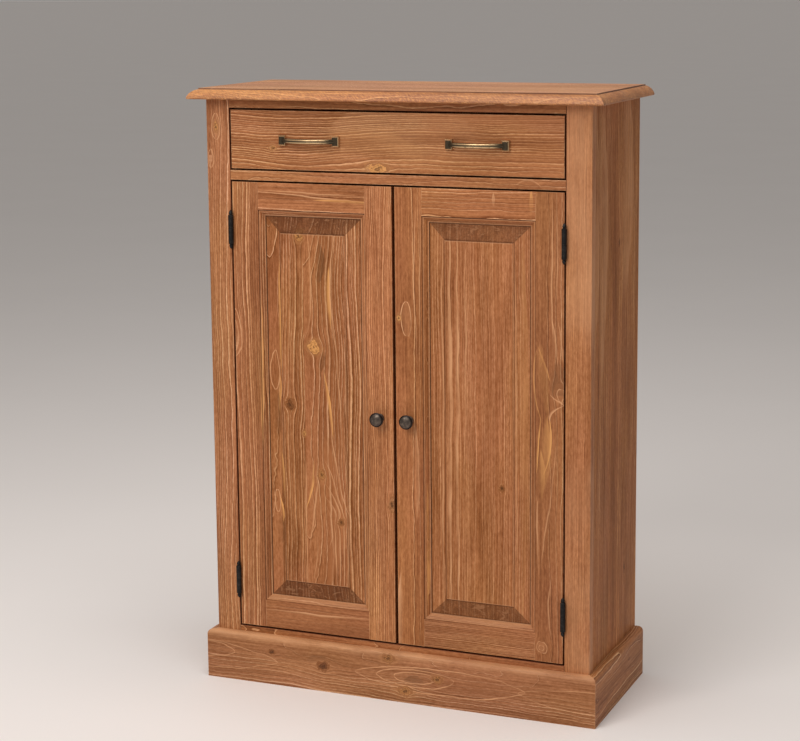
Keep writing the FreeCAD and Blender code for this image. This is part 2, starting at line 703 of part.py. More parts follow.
# Drawer handles: a bowed bar between two bevelled rosettes, screwed on from inside.
# The bar is an arc whose ends lie in the middle of the rosettes' thickness.
def handle_bow(name, x):
    sagitta = "(handle_projection - bow_depth / 2 - rosette_thickness / 2)"
    radius = f"((handle_spacing ^ 2 / 4 + {sagitta} ^ 2) / (2 * {sagitta}))"
    inner = f"({radius} - bow_depth / 2)"
    outer = f"({radius} + bow_depth / 2)"
    body = new_body(name)
    section = outline(sketch_on(body, "XZ_Plane"), [
        (inner, "-bow_height / 2"),
        (f"{outer} - bow_round", "-bow_height / 2"),
        (outer, "bow_round - bow_height / 2", "bow_round", left_turn),
        (outer, "-bow_groove_width / 2"),
        (f"{outer} - bow_groove_depth", "0"),
        (outer, "bow_groove_width / 2"),
        (outer, "bow_height / 2 - bow_round"),
        (f"{outer} - bow_round", "bow_height / 2", "bow_round", left_turn),
        (inner, "bow_height / 2"),
    ])
    feature = body.newObject("PartDesign::Revolution", f"{name}_turn")
    feature.Profile = section
    feature.ReferenceAxis = (section, ["V_Axis"])
    feature.Midplane = True
    bind(feature, {"Angle": f"2 * asin(handle_spacing / 2 / {radius})"})
    bow_middle = f"({front} - handle_projection + bow_depth / 2)"
    return place(body, x, f"{bow_middle} + {radius}", drawer_middle, z_axis, -90)


screw_crown_radius = "(handle_screw_head ^ 2 + handle_screw_crown ^ 2) / (2 * handle_screw_crown)"
rosettes = []
handle_screws = []
for side, sign in both_sides:
    middle = on_side(sign, "handle_offset")
    ends = []
    for end in (-1, 1):
        x = f"({middle} + {end} * handle_spacing / 2)"
        screw = turned("handle_screw", [
            ("0", "-handle_screw_crown"),
            ("handle_screw_head", "0", screw_crown_radius, left_turn),
            ("handle_screw_radius", "0"),
            ("handle_screw_radius", "drawer_front_thickness + handle_screw_grip"),
            ("0", "drawer_front_thickness + handle_screw_grip"),
        ])
        handle_screws.append(place(screw, x, drawer_front_back, drawer_middle, x_axis, 90))
        rosette = new_body("rosette_blank")
        box = add_box(rosette, ("rosette_width", "rosette_thickness", "rosette_height"))
        dress(rosette, box, "Chamfer", "rosette_bevel",
              [("front", edge) for edge in ("left", "right", "low", "high")])
        ends.append(place(rosette, f"{x} - rosette_width / 2", f"{front} - rosette_thickness",
                          f"{drawer_middle} - rosette_height / 2"))
    bow = handle_bow(f"handle_{side}_blank", middle)
    keep(f"handle_{side}", cut(f"handle_{side}", bow, ends))
    rosettes += [cut("rosette", end, [screw]) for end, screw in zip(ends, handle_screws[-2:])]
keep("handle_rosettes", group("handle_rosettes", rosettes))
keep("handle_screws", group("handle_screws", handle_screws))

drawer_front_blank = board("drawer_front_blank", (f"-{drawer_front_half}", front, drawer_front_low),
                           (drawer_front_half, drawer_front_back, drawer_front_high),
                           eased=[("front", edge) for edge in ("left", "right", "low", "high")])
keep("drawer_front", cut("drawer_front", drawer_front_blank,
                         drawer_sides + [drawer_bottom] + handle_screws))


# Hinges: lift-off barrels with pointed ends. The lower half and the pin belong to the carcass.
def hinge_half(name, sign, height, upper):
    """One half of a hinge, with its two screws."""
    knuckle = turned(f"{name}_knuckle", [
        ("0", f"-{barrel_end} - finial_neck_height - finial_radius - finial_tip"),
        ("finial_radius", f"-{barrel_end} - finial_neck_height - finial_radius", "finial_round", left_turn),
        ("finial_neck", f"-{barrel_end} - finial_neck_height", "finial_radius", left_turn),
        ("hinge_radius", f"-{barrel_end}"),
        ("hinge_radius", "-hinge_split / 2"),
        (bore_radius, "-hinge_split / 2"),
        (bore_radius, f"-{bore_end}"),
        ("0", f"-{bore_end}"),
    ])
    place(knuckle, on_side(sign, hinge_x), hinge_y, height, x_axis, 180 if upper else 0)
    near = door_edge if upper else f"({half_opening} - leaf_thickness)"
    far = f"({near} + leaf_thickness)"
    x = span_on_side(sign, near, far)
    low = f"({height} + hinge_split / 2)" if upper else f"({height} - {barrel_end})"
    leaf = board(f"{name}_leaf", (x, f"({hinge_y} + hinge_radius - leaf_root)", low),
                 (f"({x} + leaf_thickness)", f"({front} + leaf_width)", f"({low} + hinge_half)"))
    whole = doc.addObject("Part::Fuse", f"{name}_whole")
    whole.Base = knuckle
    whole.Tool = leaf
    screws = []
    for screw_height in (f"{low} + hinge_screw_inset", f"{low} + hinge_half - hinge_screw_inset"):
        screw = flat_head_screw(f"{name}_screw", "hinge_screw")
        face = far if upper else near
        angle = -90 * sign if upper else 90 * sign
        screws.append(place(screw, on_side(sign, face), f"{front} + hinge_screw_setback", screw_height,
                            y_axis, angle))
    return cut(name, whole, screws), screws


hinge_bases = []
hinge_pins = []
base_screws = {"left": [], "right": []}
hinge_caps = {"left": [], "right": []}
cap_screws = {"left": [], "right": []}
for side, sign in both_sides:
    for level, height in hinge_heights.items():
        base, screws = hinge_half(f"hinge_base_{side}_{level}", sign, height, upper=False)
        hinge_bases.append(base)
        base_screws[side] += screws
        cap, screws = hinge_half(f"hinge_cap_{side}_{level}", sign, height, upper=True)
        hinge_caps[side].append(cap)
        cap_screws[side] += screws
        hinge_pins.append(rod("hinge_pin", "hinge_pin_radius", f"2 * {bore_end} - hinge_pin_end",
                              on_side(sign, hinge_x), hinge_y, f"{height} - {bore_end}"))
keep("hinge_bases", group("hinge_bases", hinge_bases))
keep("hinge_pins", group("hinge_pins", hinge_pins))
keep("hinge_base_screws", group("hinge_base_screws", base_screws["left"] + base_screws["right"]))

# Front stiles, mortised for the rails.
for side, sign in both_sides:
    x = span_on_side(sign, half_opening, half_body)
    blank = board(f"front_stile_{side}_blank", (x, front, "0"),
                  (f"({x} + stile_width)", frame_back, top_underside),
                  eased=(("front", "left"), ("front", "right")))
    keep(f"front_stile_{side}", cut(f"front_stile_{side}", blank, front_rails + base_screws[side]))


# Doors: grooved and moulded frame members, coped where they meet, round a raised panel.
def frame_member(name, flat, length):
    """A moulded stick: X from its outer edge to the panel, Y from front to back, Z along it."""
    body = new_body(name)
    width = f"({flat} + {moulding_width})"
    groove_back = f"{panel_setback} + panel_groove_width"
    pad(body, "XY_Plane", [
        ("0", "frame_thickness"),
        ("0", "arris"),
        ("arris", "0", "arris", left_turn),
        (flat, "0"),
        (flat, "quirk"),
        (f"{flat} + ovolo_width", ovolo_low, ovolo_radius, left_turn),
        (f"{flat} + ovolo_width", moulding_depth),
        (width, moulding_depth),
        (width, panel_setback),
        (f"{width} - panel_groove_depth", panel_setback),
        (f"{width} - panel_groove_depth", groove_back),
        (width, groove_back),
        (width, "frame_thickness"),
    ], length)
    return body


def raised_panel(name, width, height):
    """A panel with a sloping border and a raised field, its lower edge at Z 0."""
    half = f"({width} / 2)"
    seat = f"({panel_setback} + panel_face_play)"
    rear = f"({panel_setback} + panel_groove_width - panel_face_play)"
    slope = f"({panel_grip} + panel_ledge)"
    step = f"({slope} + bevel_width)"
    field = f"({step} + field_cove)"
    slope_top = f"({seat} - bevel_rise)"
    face = f"({slope_top} - field_step)"
    body = new_body(name)
    pad(body, "XY_Plane", [
        (f"-{half}", seat),
        (f"{slope} - {half}", seat),
        (f"{step} - {half}", slope_top),
        (f"{field} - {half}", face, "field_cove", right_turn),
        (f"{half} - {field}", face),
        (f"{half} - {step}", slope_top, "field_cove", right_turn),
        (f"{half} - {slope}", seat),
        (half, seat),
        (half, rear),
        (f"-{half}", rear),
    ], height)
    for near, sign in (("0", 1), (height, -1)):
        pocket(body, "YZ_Plane", [
            (seat, f"{near} - {sign} * cut_clear"),
            (seat, f"{near} + {sign} * {slope}"),
            (slope_top, f"{near} + {sign} * {step}"),
            (face, f"{near} + {sign} * {field}", "field_cove", sign * right_turn),
            (f"{face} - cut_clear", f"{near} + {sign} * {field}"),
            (f"{face} - cut_clear", f"{near} - {sign} * cut_clear"),
        ])
    return body


def door_knob(name, sign):
    """A mushroom knob with its stud, turned so that it points to the front."""
    neck_top = "(knob_projection - knob_dome - knob_rim - knob_flare)"
    rim_low = f"({neck_top} + knob_flare)"
    body = turned(name, [
        ("0", "-knob_stud_length"),
        ("knob_stud_radius", "knob_stud_radius - knob_stud_length"),
        ("knob_stud_radius", "0"),
        ("knob_base_radius", "0"),
        ("knob_base_radius", "knob_base_height"),
        ("knob_neck", neck_top, "knob_sweep", right_turn),
        ("knob_radius", rim_low, "knob_belly", left_turn),
        ("knob_radius", f"{rim_low} + knob_rim"),
        ("0", "knob_projection", "(knob_radius ^ 2 + knob_dome ^ 2) / (2 * knob_dome)", left_turn),
    ])
    knob_x = on_side(sign, "(doors_gap / 2 + door_stile_flat / 2)")
    return place(body, knob_x, front, f"({door_low} + {door_high}) / 2", x_axis, 90)


for side, sign in both_sides:
    door = f"{side}_door"
    left_edge = span_on_side(sign, "doors_gap / 2", door_edge)
    right_edge = f"({left_edge} + {door_width})"
    rail_length = f"{door_width} - 2 * door_stile_flat"
    rail_left = f"{left_edge} + door_stile_flat"
    rail_right = f"{right_edge} - door_stile_flat"

    stiles = {
        "left": place(frame_member(f"{door}_left_stick", "door_stile_flat", door_height),
                      left_edge, front, door_low),
        "right": place(frame_member(f"{door}_right_stick", "door_stile_flat", door_height),
                       right_edge, front, door_high, y_axis, 180),
    }
    hinge_stick = stiles[side]
    meeting_stick = stiles["left" if side == "right" else "right"]
    knob = keep(f"{door}_knob", door_knob(f"{door}_knob", sign))
    keep(f"{door}_hinge_stile", cut(f"{door}_hinge_stile", hinge_stick, cap_screws[side]))
    keep(f"{door}_meeting_stile", cut(f"{door}_meeting_stile", meeting_stick, [knob]))

    top_stick = frame_member(f"{door}_top_stick", "door_top_flat", rail_length)
    place(top_stick, rail_left, front, door_high, y_axis, 90)
    bottom_stick = frame_member(f"{door}_bottom_stick", "door_bottom_flat", rail_length)
    place(bottom_stick, rail_right, front, door_low, y_axis, 270)
    keep(f"{door}_top_rail", cut(f"{door}_top_rail", top_stick, list(stiles.values())))
    keep(f"{door}_bottom_rail", cut(f"{door}_bottom_rail", bottom_stick, list(stiles.values())))

    panel_width = f"({door_width} - 2 * (door_stile_flat + {moulding_width}) + 2 * {panel_grip})"
    panel_low = f"({door_low} + door_bottom_flat + {moulding_width} - {panel_grip})"
    panel_high = f"({door_high} - door_top_flat - {moulding_width} + {panel_grip})"
    panel = raised_panel(f"{door}_panel", panel_width, f"({panel_high} - {panel_low})")
    keep(f"{door}_panel", place(panel, f"{left_edge} + {door_width} / 2", front, panel_low))

    keep(f"{door}_hinge_caps", group(f"{door}_hinge_caps", hinge_caps[side]))
    keep(f"{door}_hinge_screws", group(f"{door}_hinge_screws", cap_screws[side]))
    plate_x = f"({on_side(sign, 'catch_offset')} - plate_length / 2)"
    plate_high = f"({door_high} - plate_inset)"
    keep(f"{door}_strike_plate", board(f"{door}_strike_plate",
                                       (plate_x, frame_back, f"({plate_high} - plate_height)"),
                                       (f"({plate_x} + plate_length)", f"({frame_back} + plate_thickness)",
                                        plate_high)))

# Magnet catches under the divider, just behind the strike plates.
catches = []
for side, sign in both_sides:
    x = f"({on_side(sign, 'catch_offset')} - catch_length / 2)"
    y = f"({frame_back} + plate_thickness + catch_play)"
    catches.append(board(f"magnet_catch_{side}", (x, y, f"({divider_underside} - catch_height)"),
                         (f"({x} + catch_length)", f"({y} + catch_depth)", divider_underside)))
keep("magnet_catches", group("magnet_catches", catches))

# Nothing is written unless every object is sound.
doc.recompute()
failed = [item.Label for item in doc.Objects if {"Invalid", "Error"} & set(item.State)]
failed += [label for label, item in nodes.items() if item.Shape.isNull() or not item.Shape.isValid()]
if failed:
    raise RuntimeError(f"not sound: {sorted(set(failed))}")
os.makedirs("parts", exist_ok=True)
for label, item in nodes.items():
    item.Shape.exportStep(f"parts/{label}.step")
    print(label, len(item.Shape.Solids), "solids", round(item.Shape.Volume), "mm3")
print(len(nodes), "nodes")
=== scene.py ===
import bmesh
import bpy
from mathutils import Matrix, Vector


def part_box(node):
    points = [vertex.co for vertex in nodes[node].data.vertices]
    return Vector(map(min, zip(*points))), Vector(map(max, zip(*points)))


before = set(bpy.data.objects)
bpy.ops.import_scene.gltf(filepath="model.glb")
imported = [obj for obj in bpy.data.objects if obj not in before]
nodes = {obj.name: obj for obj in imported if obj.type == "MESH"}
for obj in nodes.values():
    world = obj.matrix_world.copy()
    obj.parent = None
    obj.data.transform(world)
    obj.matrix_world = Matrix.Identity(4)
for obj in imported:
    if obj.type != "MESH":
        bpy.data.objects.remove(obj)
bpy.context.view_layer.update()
print("frame loaded:", len(nodes), "nodes")


# Short hands for building node trees
def addNode(tree, kind, inputs=None, **settings):
    made = tree.nodes.new("ShaderNode" + kind)
    for name, value in settings.items():
        setattr(made, name, value)
    for name, value in (inputs or {}).items():
        if isinstance(value, bpy.types.NodeSocket):
            tree.links.new(value, made.inputs[name])
        else:
            made.inputs[name].default_value = value
    return made


def calc(tree, operation, first, second=0.0, third=0.0):
    return addNode(tree, "Math", {0: first, 1: second, 2: third}, operation=operation).outputs[0]


def product(tree, first, *others):
    for factor in others:
        first = calc(tree, "MULTIPLY", first, factor)
    return first


def ramp(tree, value, gain, start):  # start + gain * value
    return calc(tree, "MULTIPLY_ADD", value, gain, start)


def apart(tree, first, second):
    return calc(tree, "ABSOLUTE", calc(tree, "SUBTRACT", first, second))


def vecCalc(tree, operation, first, second=(0, 0, 0)):
    return addNode(tree, "VectorMath", {0: first, 1: second}, operation=operation).outputs[0]


def vecValue(tree, operation, first, second=(0, 0, 0)):  # where the result is one number
    return addNode(tree, "VectorMath", {0: first, 1: second}, operation=operation).outputs["Value"]


def scaleBy(tree, vector, factor):
    return addNode(tree, "VectorMath", {0: vector, "Scale": factor}, operation="SCALE").outputs[0]


def split(tree, vector):
    return addNode(tree, "SeparateXYZ", {0: vector}).outputs


def clampTo(tree, value, low=0.0, high=1.0):
    return addNode(tree, "Clamp", {"Value": value, "Min": low, "Max": high}).outputs[0]


def smoothStep(tree, value, low, high):  # from 0 at low to 1 at high, also downwards
    limits = {"Value": value, "From Min": low, "From Max": high}
    return addNode(tree, "MapRange", limits, interpolation_type="SMOOTHSTEP").outputs[0]


def mixColour(tree, factor, first, second):
    return addNode(tree, "Mix", {0: factor, 6: first, 7: second}, data_type="RGBA").outputs[2]


def noiseAt(tree, place, perMetre, detail=2.0, rough=0.5, output="Fac"):
    scale = perMetre if isinstance(perMetre, tuple) else (perMetre,) * 3
    scaled = vecCalc(tree, "MULTIPLY", place, scale)
    settings = {"Vector": scaled, "Scale": 1.0, "Detail": detail, "Roughness": rough}
    return addNode(tree, "TexNoise", settings).outputs[output]


def swayAt(tree, place, perMetre, detail, rough=0.5):  # from -0.5 to 0.5
    return calc(tree, "SUBTRACT", noiseAt(tree, place, perMetre, detail, rough), 0.5)


def driftAt(tree, place, perMetre, detail, rough=0.5):  # the same in three directions
    return vecCalc(tree, "SUBTRACT", noiseAt(tree, place, perMetre, detail, rough, "Color"), (0.5, 0.5, 0.5))


def newGroup(name, inputs, outputs):
    tree = bpy.data.node_groups.new(name, "ShaderNodeTree")
    for way, sockets in (("INPUT", inputs), ("OUTPUT", outputs)):
        for kind, labels in sockets.items():
            for label in labels.split():
                tree.interface.new_socket(name=label, in_out=way, socket_type="NodeSocket" + kind)
    return tree, tree.nodes.new("NodeGroupInput").outputs, tree.nodes.new("NodeGroupOutput").inputs


def newCoat(name, vectors, numbers, colours="Colour"):  # a group that paints over the colour it is given
    return newGroup(name, {"Color": colours, "Vector": vectors, "Float": numbers}, {"Color": "Colour"})


def useGroup(tree, group, inputs):
    return addNode(tree, "Group", inputs, node_tree=group).outputs


def insideBox(tree, given):  # how far a place lies inside the walls of a box, for each direction
    fromLow = vecCalc(tree, "SUBTRACT", given["Place"], given["Low"])
    fromHigh = vecCalc(tree, "SUBTRACT", given["High"], given["Place"])
    return split(tree, vecCalc(tree, "MINIMUM", fromLow, fromHigh))


def newMaterial(name):
    material = bpy.data.materials.new(name)
    material.use_nodes = True
    return material, material.node_tree, material.node_tree.nodes["Principled BSDF"]


def finishShader(tree, shader, colour, rough, height, strength, depth):
    bump = addNode(tree, "Bump", {"Height": height, "Strength": strength, "Distance": depth}).outputs[0]
    for label, value in (("Base Color", colour), ("Roughness", rough), ("Normal", bump)):
        tree.links.new(value, shader.inputs[label])


def dress(material, *names):
    for name in names:
        mesh = nodes[name].data
        mesh.materials.clear()
        mesh.materials.append(material)


# Softwood: growth rings round the heart of the tree, cut by the board's faces.
# The place has X across the board, Y through its thickness and Z along the grain.
stainTones = {
    "deep": (0.200, 0.060, 0.014, 1),  # soft wood that drank most stain
    "body": (0.415, 0.157, 0.058, 1),
    "line": (0.700, 0.362, 0.180, 1),  # hard late wood, which stays light; bands and streaks also use it for painted highlight lines
    "pale": (0.560, 0.265, 0.098, 1),  # sapwood and the wood round a knot
    "gold": (0.800, 0.390, 0.130, 1),  # resin in a sound knot
    "heart": (0.100, 0.034, 0.010, 1),  # middle of a dead knot
    "end": (0.115, 0.038, 0.013, 1),  # fibres cut across
    "wornSheen": (0.640, 0.350, 0.180, 1),  # rubbed edges, with a painted highlight along the arris
    "gap": (0.150, 0.034, 0.010, 1),  # painted shade on the faces in and beside the gaps
    "quirk": (0.085, 0.027, 0.009, 1),  # painted shade in the quirks and creases
    "smudge": (0.150, 0.060, 0.021, 1),  # bruised or resinous places
}
rawTones = {
    "deep": (0.640, 0.375, 0.180, 1),
    "body": (0.840, 0.565, 0.320, 1),
    "line": (0.480, 0.215, 0.080, 1),  # unstained late wood is the darker part
    "pale": (0.700, 0.430, 0.210, 1),
    "gold": (0.500, 0.220, 0.075, 1),
    "heart": (0.130, 0.050, 0.022, 1),
    "end": (0.480, 0.270, 0.130, 1),
}
finishes = {"stained": stainTones, "raw": rawTones}
softwood = {  # the noises are in waves per metre across, through and along the board
    "drift": (3.2, 3.2, 1.6), "ripple": (17, 17, 11), "rippleDepth": (0.0075, 0.0075, 0),
    "streak": (26, 26, 4.0), "fibre": (290, 290, 6), "fleck": (260, 260, 90),
    "stain": (13, 13, 2.4), "hue": (9, 9, 3),
    "years": 45.0, "yearShift": 3.0,  # good and bad years move the rings
    "lineWidth": 0.0011, "lineMore": 0.0014,  # the least, and what chance adds
    "pores": {"stained": 1.0, "raw": 0.4}, "yellow": {"stained": 1.035, "raw": 1.0},
    "bump": 0.6, "bumpDepth": 0.0007, "gloss": 0.25,
}


# Rings: the way out from the heart, how far a place lies in its year, and a chance number for that year
def ringsAt(tree, given, spot):
    drift = scaleBy(tree, driftAt(tree, spot, softwood["drift"], 1.5), given["Wander"])
    quick = driftAt(tree, spot, softwood["ripple"], 3, 0.55)
    ripple = vecCalc(tree, "MULTIPLY", quick, softwood["rippleDepth"])
    bent = vecCalc(tree, "ADD", vecCalc(tree, "ADD", given["Place"], drift), ripple)
    around = vecCalc(tree, "MULTIPLY", vecCalc(tree, "SUBTRACT", bent, given["Heart"]), (1, 1, 0))
    radius = vecValue(tree, "LENGTH", around)
    years = {"W": radius, "Scale": softwood["years"], "Detail": 1.0}
    year = addNode(tree, "TexNoise", years, noise_dimensions="1D").outputs["Fac"]
    even = calc(tree, "DIVIDE", radius, given["Ring"])
    rings = calc(tree, "ADD", even, product(tree, year, softwood["yearShift"]))
    index = calc(tree, "ADD", calc(tree, "FLOOR", rings), split(tree, given["Seed"])[0])
    chance = addNode(tree, "TexWhiteNoise", {"W": index}, noise_dimensions="1D").outputs["Value"]
    return around, calc(tree, "FRACT", rings), chance


# Late wood: a thin line, as wide where the face grazes a ring as where it cuts it square
def lateWood(tree, given, spot, around, part, chance):
    lean = vecValue(tree, "DOT_PRODUCT", vecCalc(tree, "NORMALIZE", around), given["Face"])
    square = calc(tree, "SUBTRACT", 1.0, product(tree, lean, lean))
    spread = calc(tree, "SQRT", calc(tree, "MAXIMUM", square, 0.0))
    width = ramp(tree, chance, softwood["lineMore"], softwood["lineWidth"])
    thick = clampTo(tree, product(tree, calc(tree, "DIVIDE", spread, given["Ring"]), width), 0.05, 0.42)
    begins = calc(tree, "SUBTRACT", 1.0, thick)
    full = ramp(tree, thick, -0.35, 1.0)
    late = product(tree, smoothStep(tree, part, begins, full), smoothStep(tree, part, 1.0, 0.98))
    patchy = smoothStep(tree, noiseAt(tree, spot, softwood["streak"]), 0.36, 0.60)
    bold = product(tree, ramp(tree, chance, 0.60, 0.50), ramp(tree, patchy, 0.60, 0.45))
    return product(tree, late, bold, given["Bold"]), thick


def makeGrainGroup(finish, tones):
    pores = softwood["pores"][finish]
    tree, given, result = newGroup(
        finish + "Grain",
        {"Vector": "Place Face Seed Heart Light", "Float": "Ring Wander Bold"},
        {"Color": "Colour", "Float": "Height Rough"},
    )
    spot = vecCalc(tree, "ADD", given["Place"], given["Seed"])
    around, part, chance = ringsAt(tree, given, spot)
    line, thick = lateWood(tree, given, spot, around, part, chance)
    if finish == "stained":
        early = smoothStep(tree, part, product(tree, thick, 1.6), 0.0)  # soft wood past each line drinks more stain, with a painted shade beside the raised late wood
    else:
        early = smoothStep(tree, part, 0.15, 1.0)  # plain wood darkens slowly towards each line
    fibre = swayAt(tree, spot, softwood["fibre"], 4, 0.65)
    fleck = swayAt(tree, spot, softwood["fleck"], 4, 0.70)
    stain = smoothStep(tree, noiseAt(tree, spot, softwood["stain"], 3), 0.36, 0.68)
    hue = smoothStep(tree, noiseAt(tree, spot, softwood["hue"]), 0.32, 0.68)

    shade = ramp(tree, early, 0.55, ramp(tree, chance, -0.36, 0.12))
    depth = ramp(tree, shade, given["Bold"], ramp(tree, stain, 0.45, 0.14))
    depth = clampTo(tree, ramp(tree, fibre, 1.5 * pores, depth))
    colour = mixColour(tree, depth, tones["body"], tones["deep"])
    colour = mixColour(tree, line, colour, tones["line"])
    tint = mixColour(tree, hue, (1.0, 0.98, 1.00, 1), (1.0, softwood["yellow"][finish], 0.94, 1))
    grey = product(tree, ramp(tree, fleck, 1.8, fibre), -0.78 * pores)
    grime = vecCalc(tree, "ADD", scaleBy(tree, (0.8, 1.1, 1.5), grey), (1, 1, 1))
    for factor in (tint, grime, given["Light"]):
        colour = vecCalc(tree, "MULTIPLY", colour, factor)
    tree.links.new(colour, result["Colour"])
    tree.links.new(ramp(tree, calc(tree, "ADD", fibre, fleck), -0.5, line), result["Height"])
    tree.links.new(ramp(tree, calc(tree, "SUBTRACT", fibre, line), 0.14, 0.55), result["Rough"])
    return tree


# A swelling in the trunk: along a stretch of the board the heart lies deeper or further to one side
def makeSwellGroup():
    tree, given, result = newGroup(
        "trunkSwell", {"Vector": "Place Shift", "Float": "Along Length"}, {"Vector": "Place"})
    off = calc(tree, "SUBTRACT", split(tree, given["Place"])[2], given["Along"])
    far = calc(tree, "DIVIDE", off, given["Length"])
    bulge = calc(tree, "EXPONENT", product(tree, far, far, -1.0))
    moved = scaleBy(tree, given["Shift"], bulge)
    tree.links.new(vecCalc(tree, "SUBTRACT", given["Place"], moved), result["Place"])
    return tree


# A panel glued from strips: past each joint the wood is from another place in the tree
def makeStripGroup():
    tree, given, result = newGroup(
        "gluedStrip", {"Vector": "Place Whole Shift", "Float": "Edge"}, {"Vector": "Place"})
    past = calc(tree, "GREATER_THAN", split(tree, given["Whole"])[0], given["Edge"])
    moved = scaleBy(tree, given["Shift"], past)
    tree.links.new(vecCalc(tree, "ADD", given["Place"], moved), result["Place"])
    return tree


# A knot: the grain flows round it, as water does round a post
def makeKnotGroup():
    tree, given, result = newGroup(
        "knotBend",
        {"Vector": "Place Knot", "Float": "Radius Stretch"},
        {"Vector": "Place", "Float": "Reach"},
    )
    gap = vecCalc(tree, "SUBTRACT", given["Place"], given["Knot"])
    away = split(tree, gap)
    across = away[0]
    along = calc(tree, "DIVIDE", away[2], given["Stretch"])
    square = calc(tree, "ADD", product(tree, across, across), product(tree, along, along))
    size = product(tree, given["Radius"], given["Radius"])
    push = calc(tree, "DIVIDE", product(tree, across, size), calc(tree, "MAXIMUM", square, size))
    shift = addNode(tree, "CombineXYZ", {0: push}).outputs[0]
    tree.links.new(vecCalc(tree, "SUBTRACT", given["Place"], shift), result["Place"])
    uneven = noiseAt(tree, scaleBy(tree, gap, calc(tree, "DIVIDE", 1.1, given["Radius"])), 1, 3)
    reach = calc(tree, "DIVIDE", calc(tree, "SQRT", square), given["Radius"])
    tree.links.new(calc(tree, "ADD", reach, ramp(tree, uneven, 1.8, -0.9)), result["Reach"])
    return tree


# The knot itself: rings, specks and pith inside a dark bark, and a pale halo. A reach of 1 is its rim.
def makeKnotFaceGroup(finish, tones):
    tree, given, result = newCoat(finish + "Knot", "Place", "Reach Dark")
    reach, dark = given["Reach"], given["Dark"]
    sound = calc(tree, "SUBTRACT", 1.0, dark)
    halo = product(tree, smoothStep(tree, reach, 1.9, 0.9), ramp(tree, sound, 0.35, 0.15))
    colour = mixColour(tree, halo, given["Colour"], tones["pale"])
    swirl = calc(tree, "SINE", product(tree, reach, 13.0))
    shade = ramp(tree, dark, 0.5, ramp(tree, swirl, 0.26, 0.26))
    eye = mixColour(tree, dark, tones["gold"], tones["body"])
    eye = mixColour(tree, shade, eye, tones["deep"])
    speck = smoothStep(tree, noiseAt(tree, given["Place"], (260, 260, 220), 3, 0.6), 0.52, 0.66)
    pith = product(tree, smoothStep(tree, reach, 0.50, 0.15), ramp(tree, dark, 0.3, 0.6))
    for share in (product(tree, speck, 0.75), product(tree, dark, 0.55), pith):
        eye = mixColour(tree, share, eye, tones["heart"])
    colour = mixColour(tree, smoothStep(tree, reach, 1.0, 0.72), colour, eye)
    bark = product(tree, smoothStep(tree, apart(tree, reach, 1.05), 0.25, 0.06), ramp(tree, dark, 0.45, 0.35))
    tree.links.new(mixColour(tree, bark, colour, tones["deep"]), result["Colour"])
    return tree


# A streak along the grain, wavering with it: it swells from one side and ends sharply at the other
def makeStreakGroup():
    tree, given, result = newCoat("grainStreak", "Place Middle", "Half Length Lean Bow Share", "Colour Tone")
    sway = swayAt(tree, given["Place"], (9, 9, 8), 3)
    away = split(tree, vecCalc(tree, "SUBTRACT", given["Place"], given["Middle"]))
    bend = ramp(tree, away[2], given["Bow"], given["Lean"])
    straight = calc(tree, "SUBTRACT", away[0], product(tree, bend, away[2]))
    across = calc(tree, "DIVIDE", ramp(tree, sway, 0.014, straight), given["Half"])
    along = calc(tree, "ABSOLUTE", calc(tree, "DIVIDE", away[2], given["Length"]))
    thin = noiseAt(tree, given["Place"], (260, 260, 12), 3, 0.6)
    patch = smoothStep(tree, noiseAt(tree, given["Place"], (24, 24, 9)), 0.30, 0.62)
    swell = ramp(tree, smoothStep(tree, along, 1.0, 0.2), 0.8, 0.2)
    edge = ramp(tree, thin, 0.6, calc(tree, "SUBTRACT", calc(tree, "DIVIDE", across, swell), 0.3))
    mask = product(tree, smoothStep(tree, edge, -1.1, 0.7), smoothStep(tree, edge, 1.05, 0.80))
    mask = product(tree, mask, smoothStep(tree, along, 1.0, 0.75), ramp(tree, patch, 0.7, 0.3))
    mask = product(tree, mask, given["Share"])
    tree.links.new(mixColour(tree, mask, given["Colour"], given["Tone"]), result["Colour"])
    return tree


# A ring that the face only grazes: its outline is an oval, or a tongue that runs to a point at both ends
def makeLoopGroup():
    tree, given, result = newCoat("grainLoop", "Place Middle", "Half Length Point Share Fill", "Colour Tone")
    sway = vecCalc(tree, "MULTIPLY", driftAt(tree, given["Place"], (26, 26, 9), 3, 0.55), (0.015, 0, 0.030))
    gap = vecCalc(tree, "SUBTRACT", given["Place"], given["Middle"])
    away = split(tree, vecCalc(tree, "ADD", gap, sway))
    along = calc(tree, "DIVIDE", away[2], given["Length"])
    left = calc(tree, "MAXIMUM", calc(tree, "SUBTRACT", 1.0, product(tree, along, along)), 0.001)
    wide = product(tree, given["Half"], calc(tree, "POWER", left, given["Point"]))
    off = calc(tree, "SUBTRACT", calc(tree, "ABSOLUTE", away[0]), wide)
    rise = product(tree, wide, along, given["Point"])
    slope = calc(tree, "DIVIDE", rise, product(tree, given["Length"], product(tree, left, 0.5)))
    far = calc(tree, "DIVIDE", calc(tree, "ABSOLUTE", off), calc(tree, "SQRT", ramp(tree, slope, slope, 1.0)))
    within = smoothStep(tree, left, 0.001, 0.02)
    patch = smoothStep(tree, noiseAt(tree, given["Place"], (24, 24, 8)), 0.32, 0.56)
    thin = product(tree, smoothStep(tree, far, 0.0013, 0.0004), within)
    line = product(tree, thin, ramp(tree, patch, 0.65, 0.35), given["Share"])
    inner = product(tree, smoothStep(tree, off, 0.0, -0.003), given["Fill"], within)
    mask = calc(tree, "MAXIMUM", line, inner)
    tree.links.new(mixColour(tree, mask, given["Colour"], given["Tone"]), result["Colour"])
    return tree


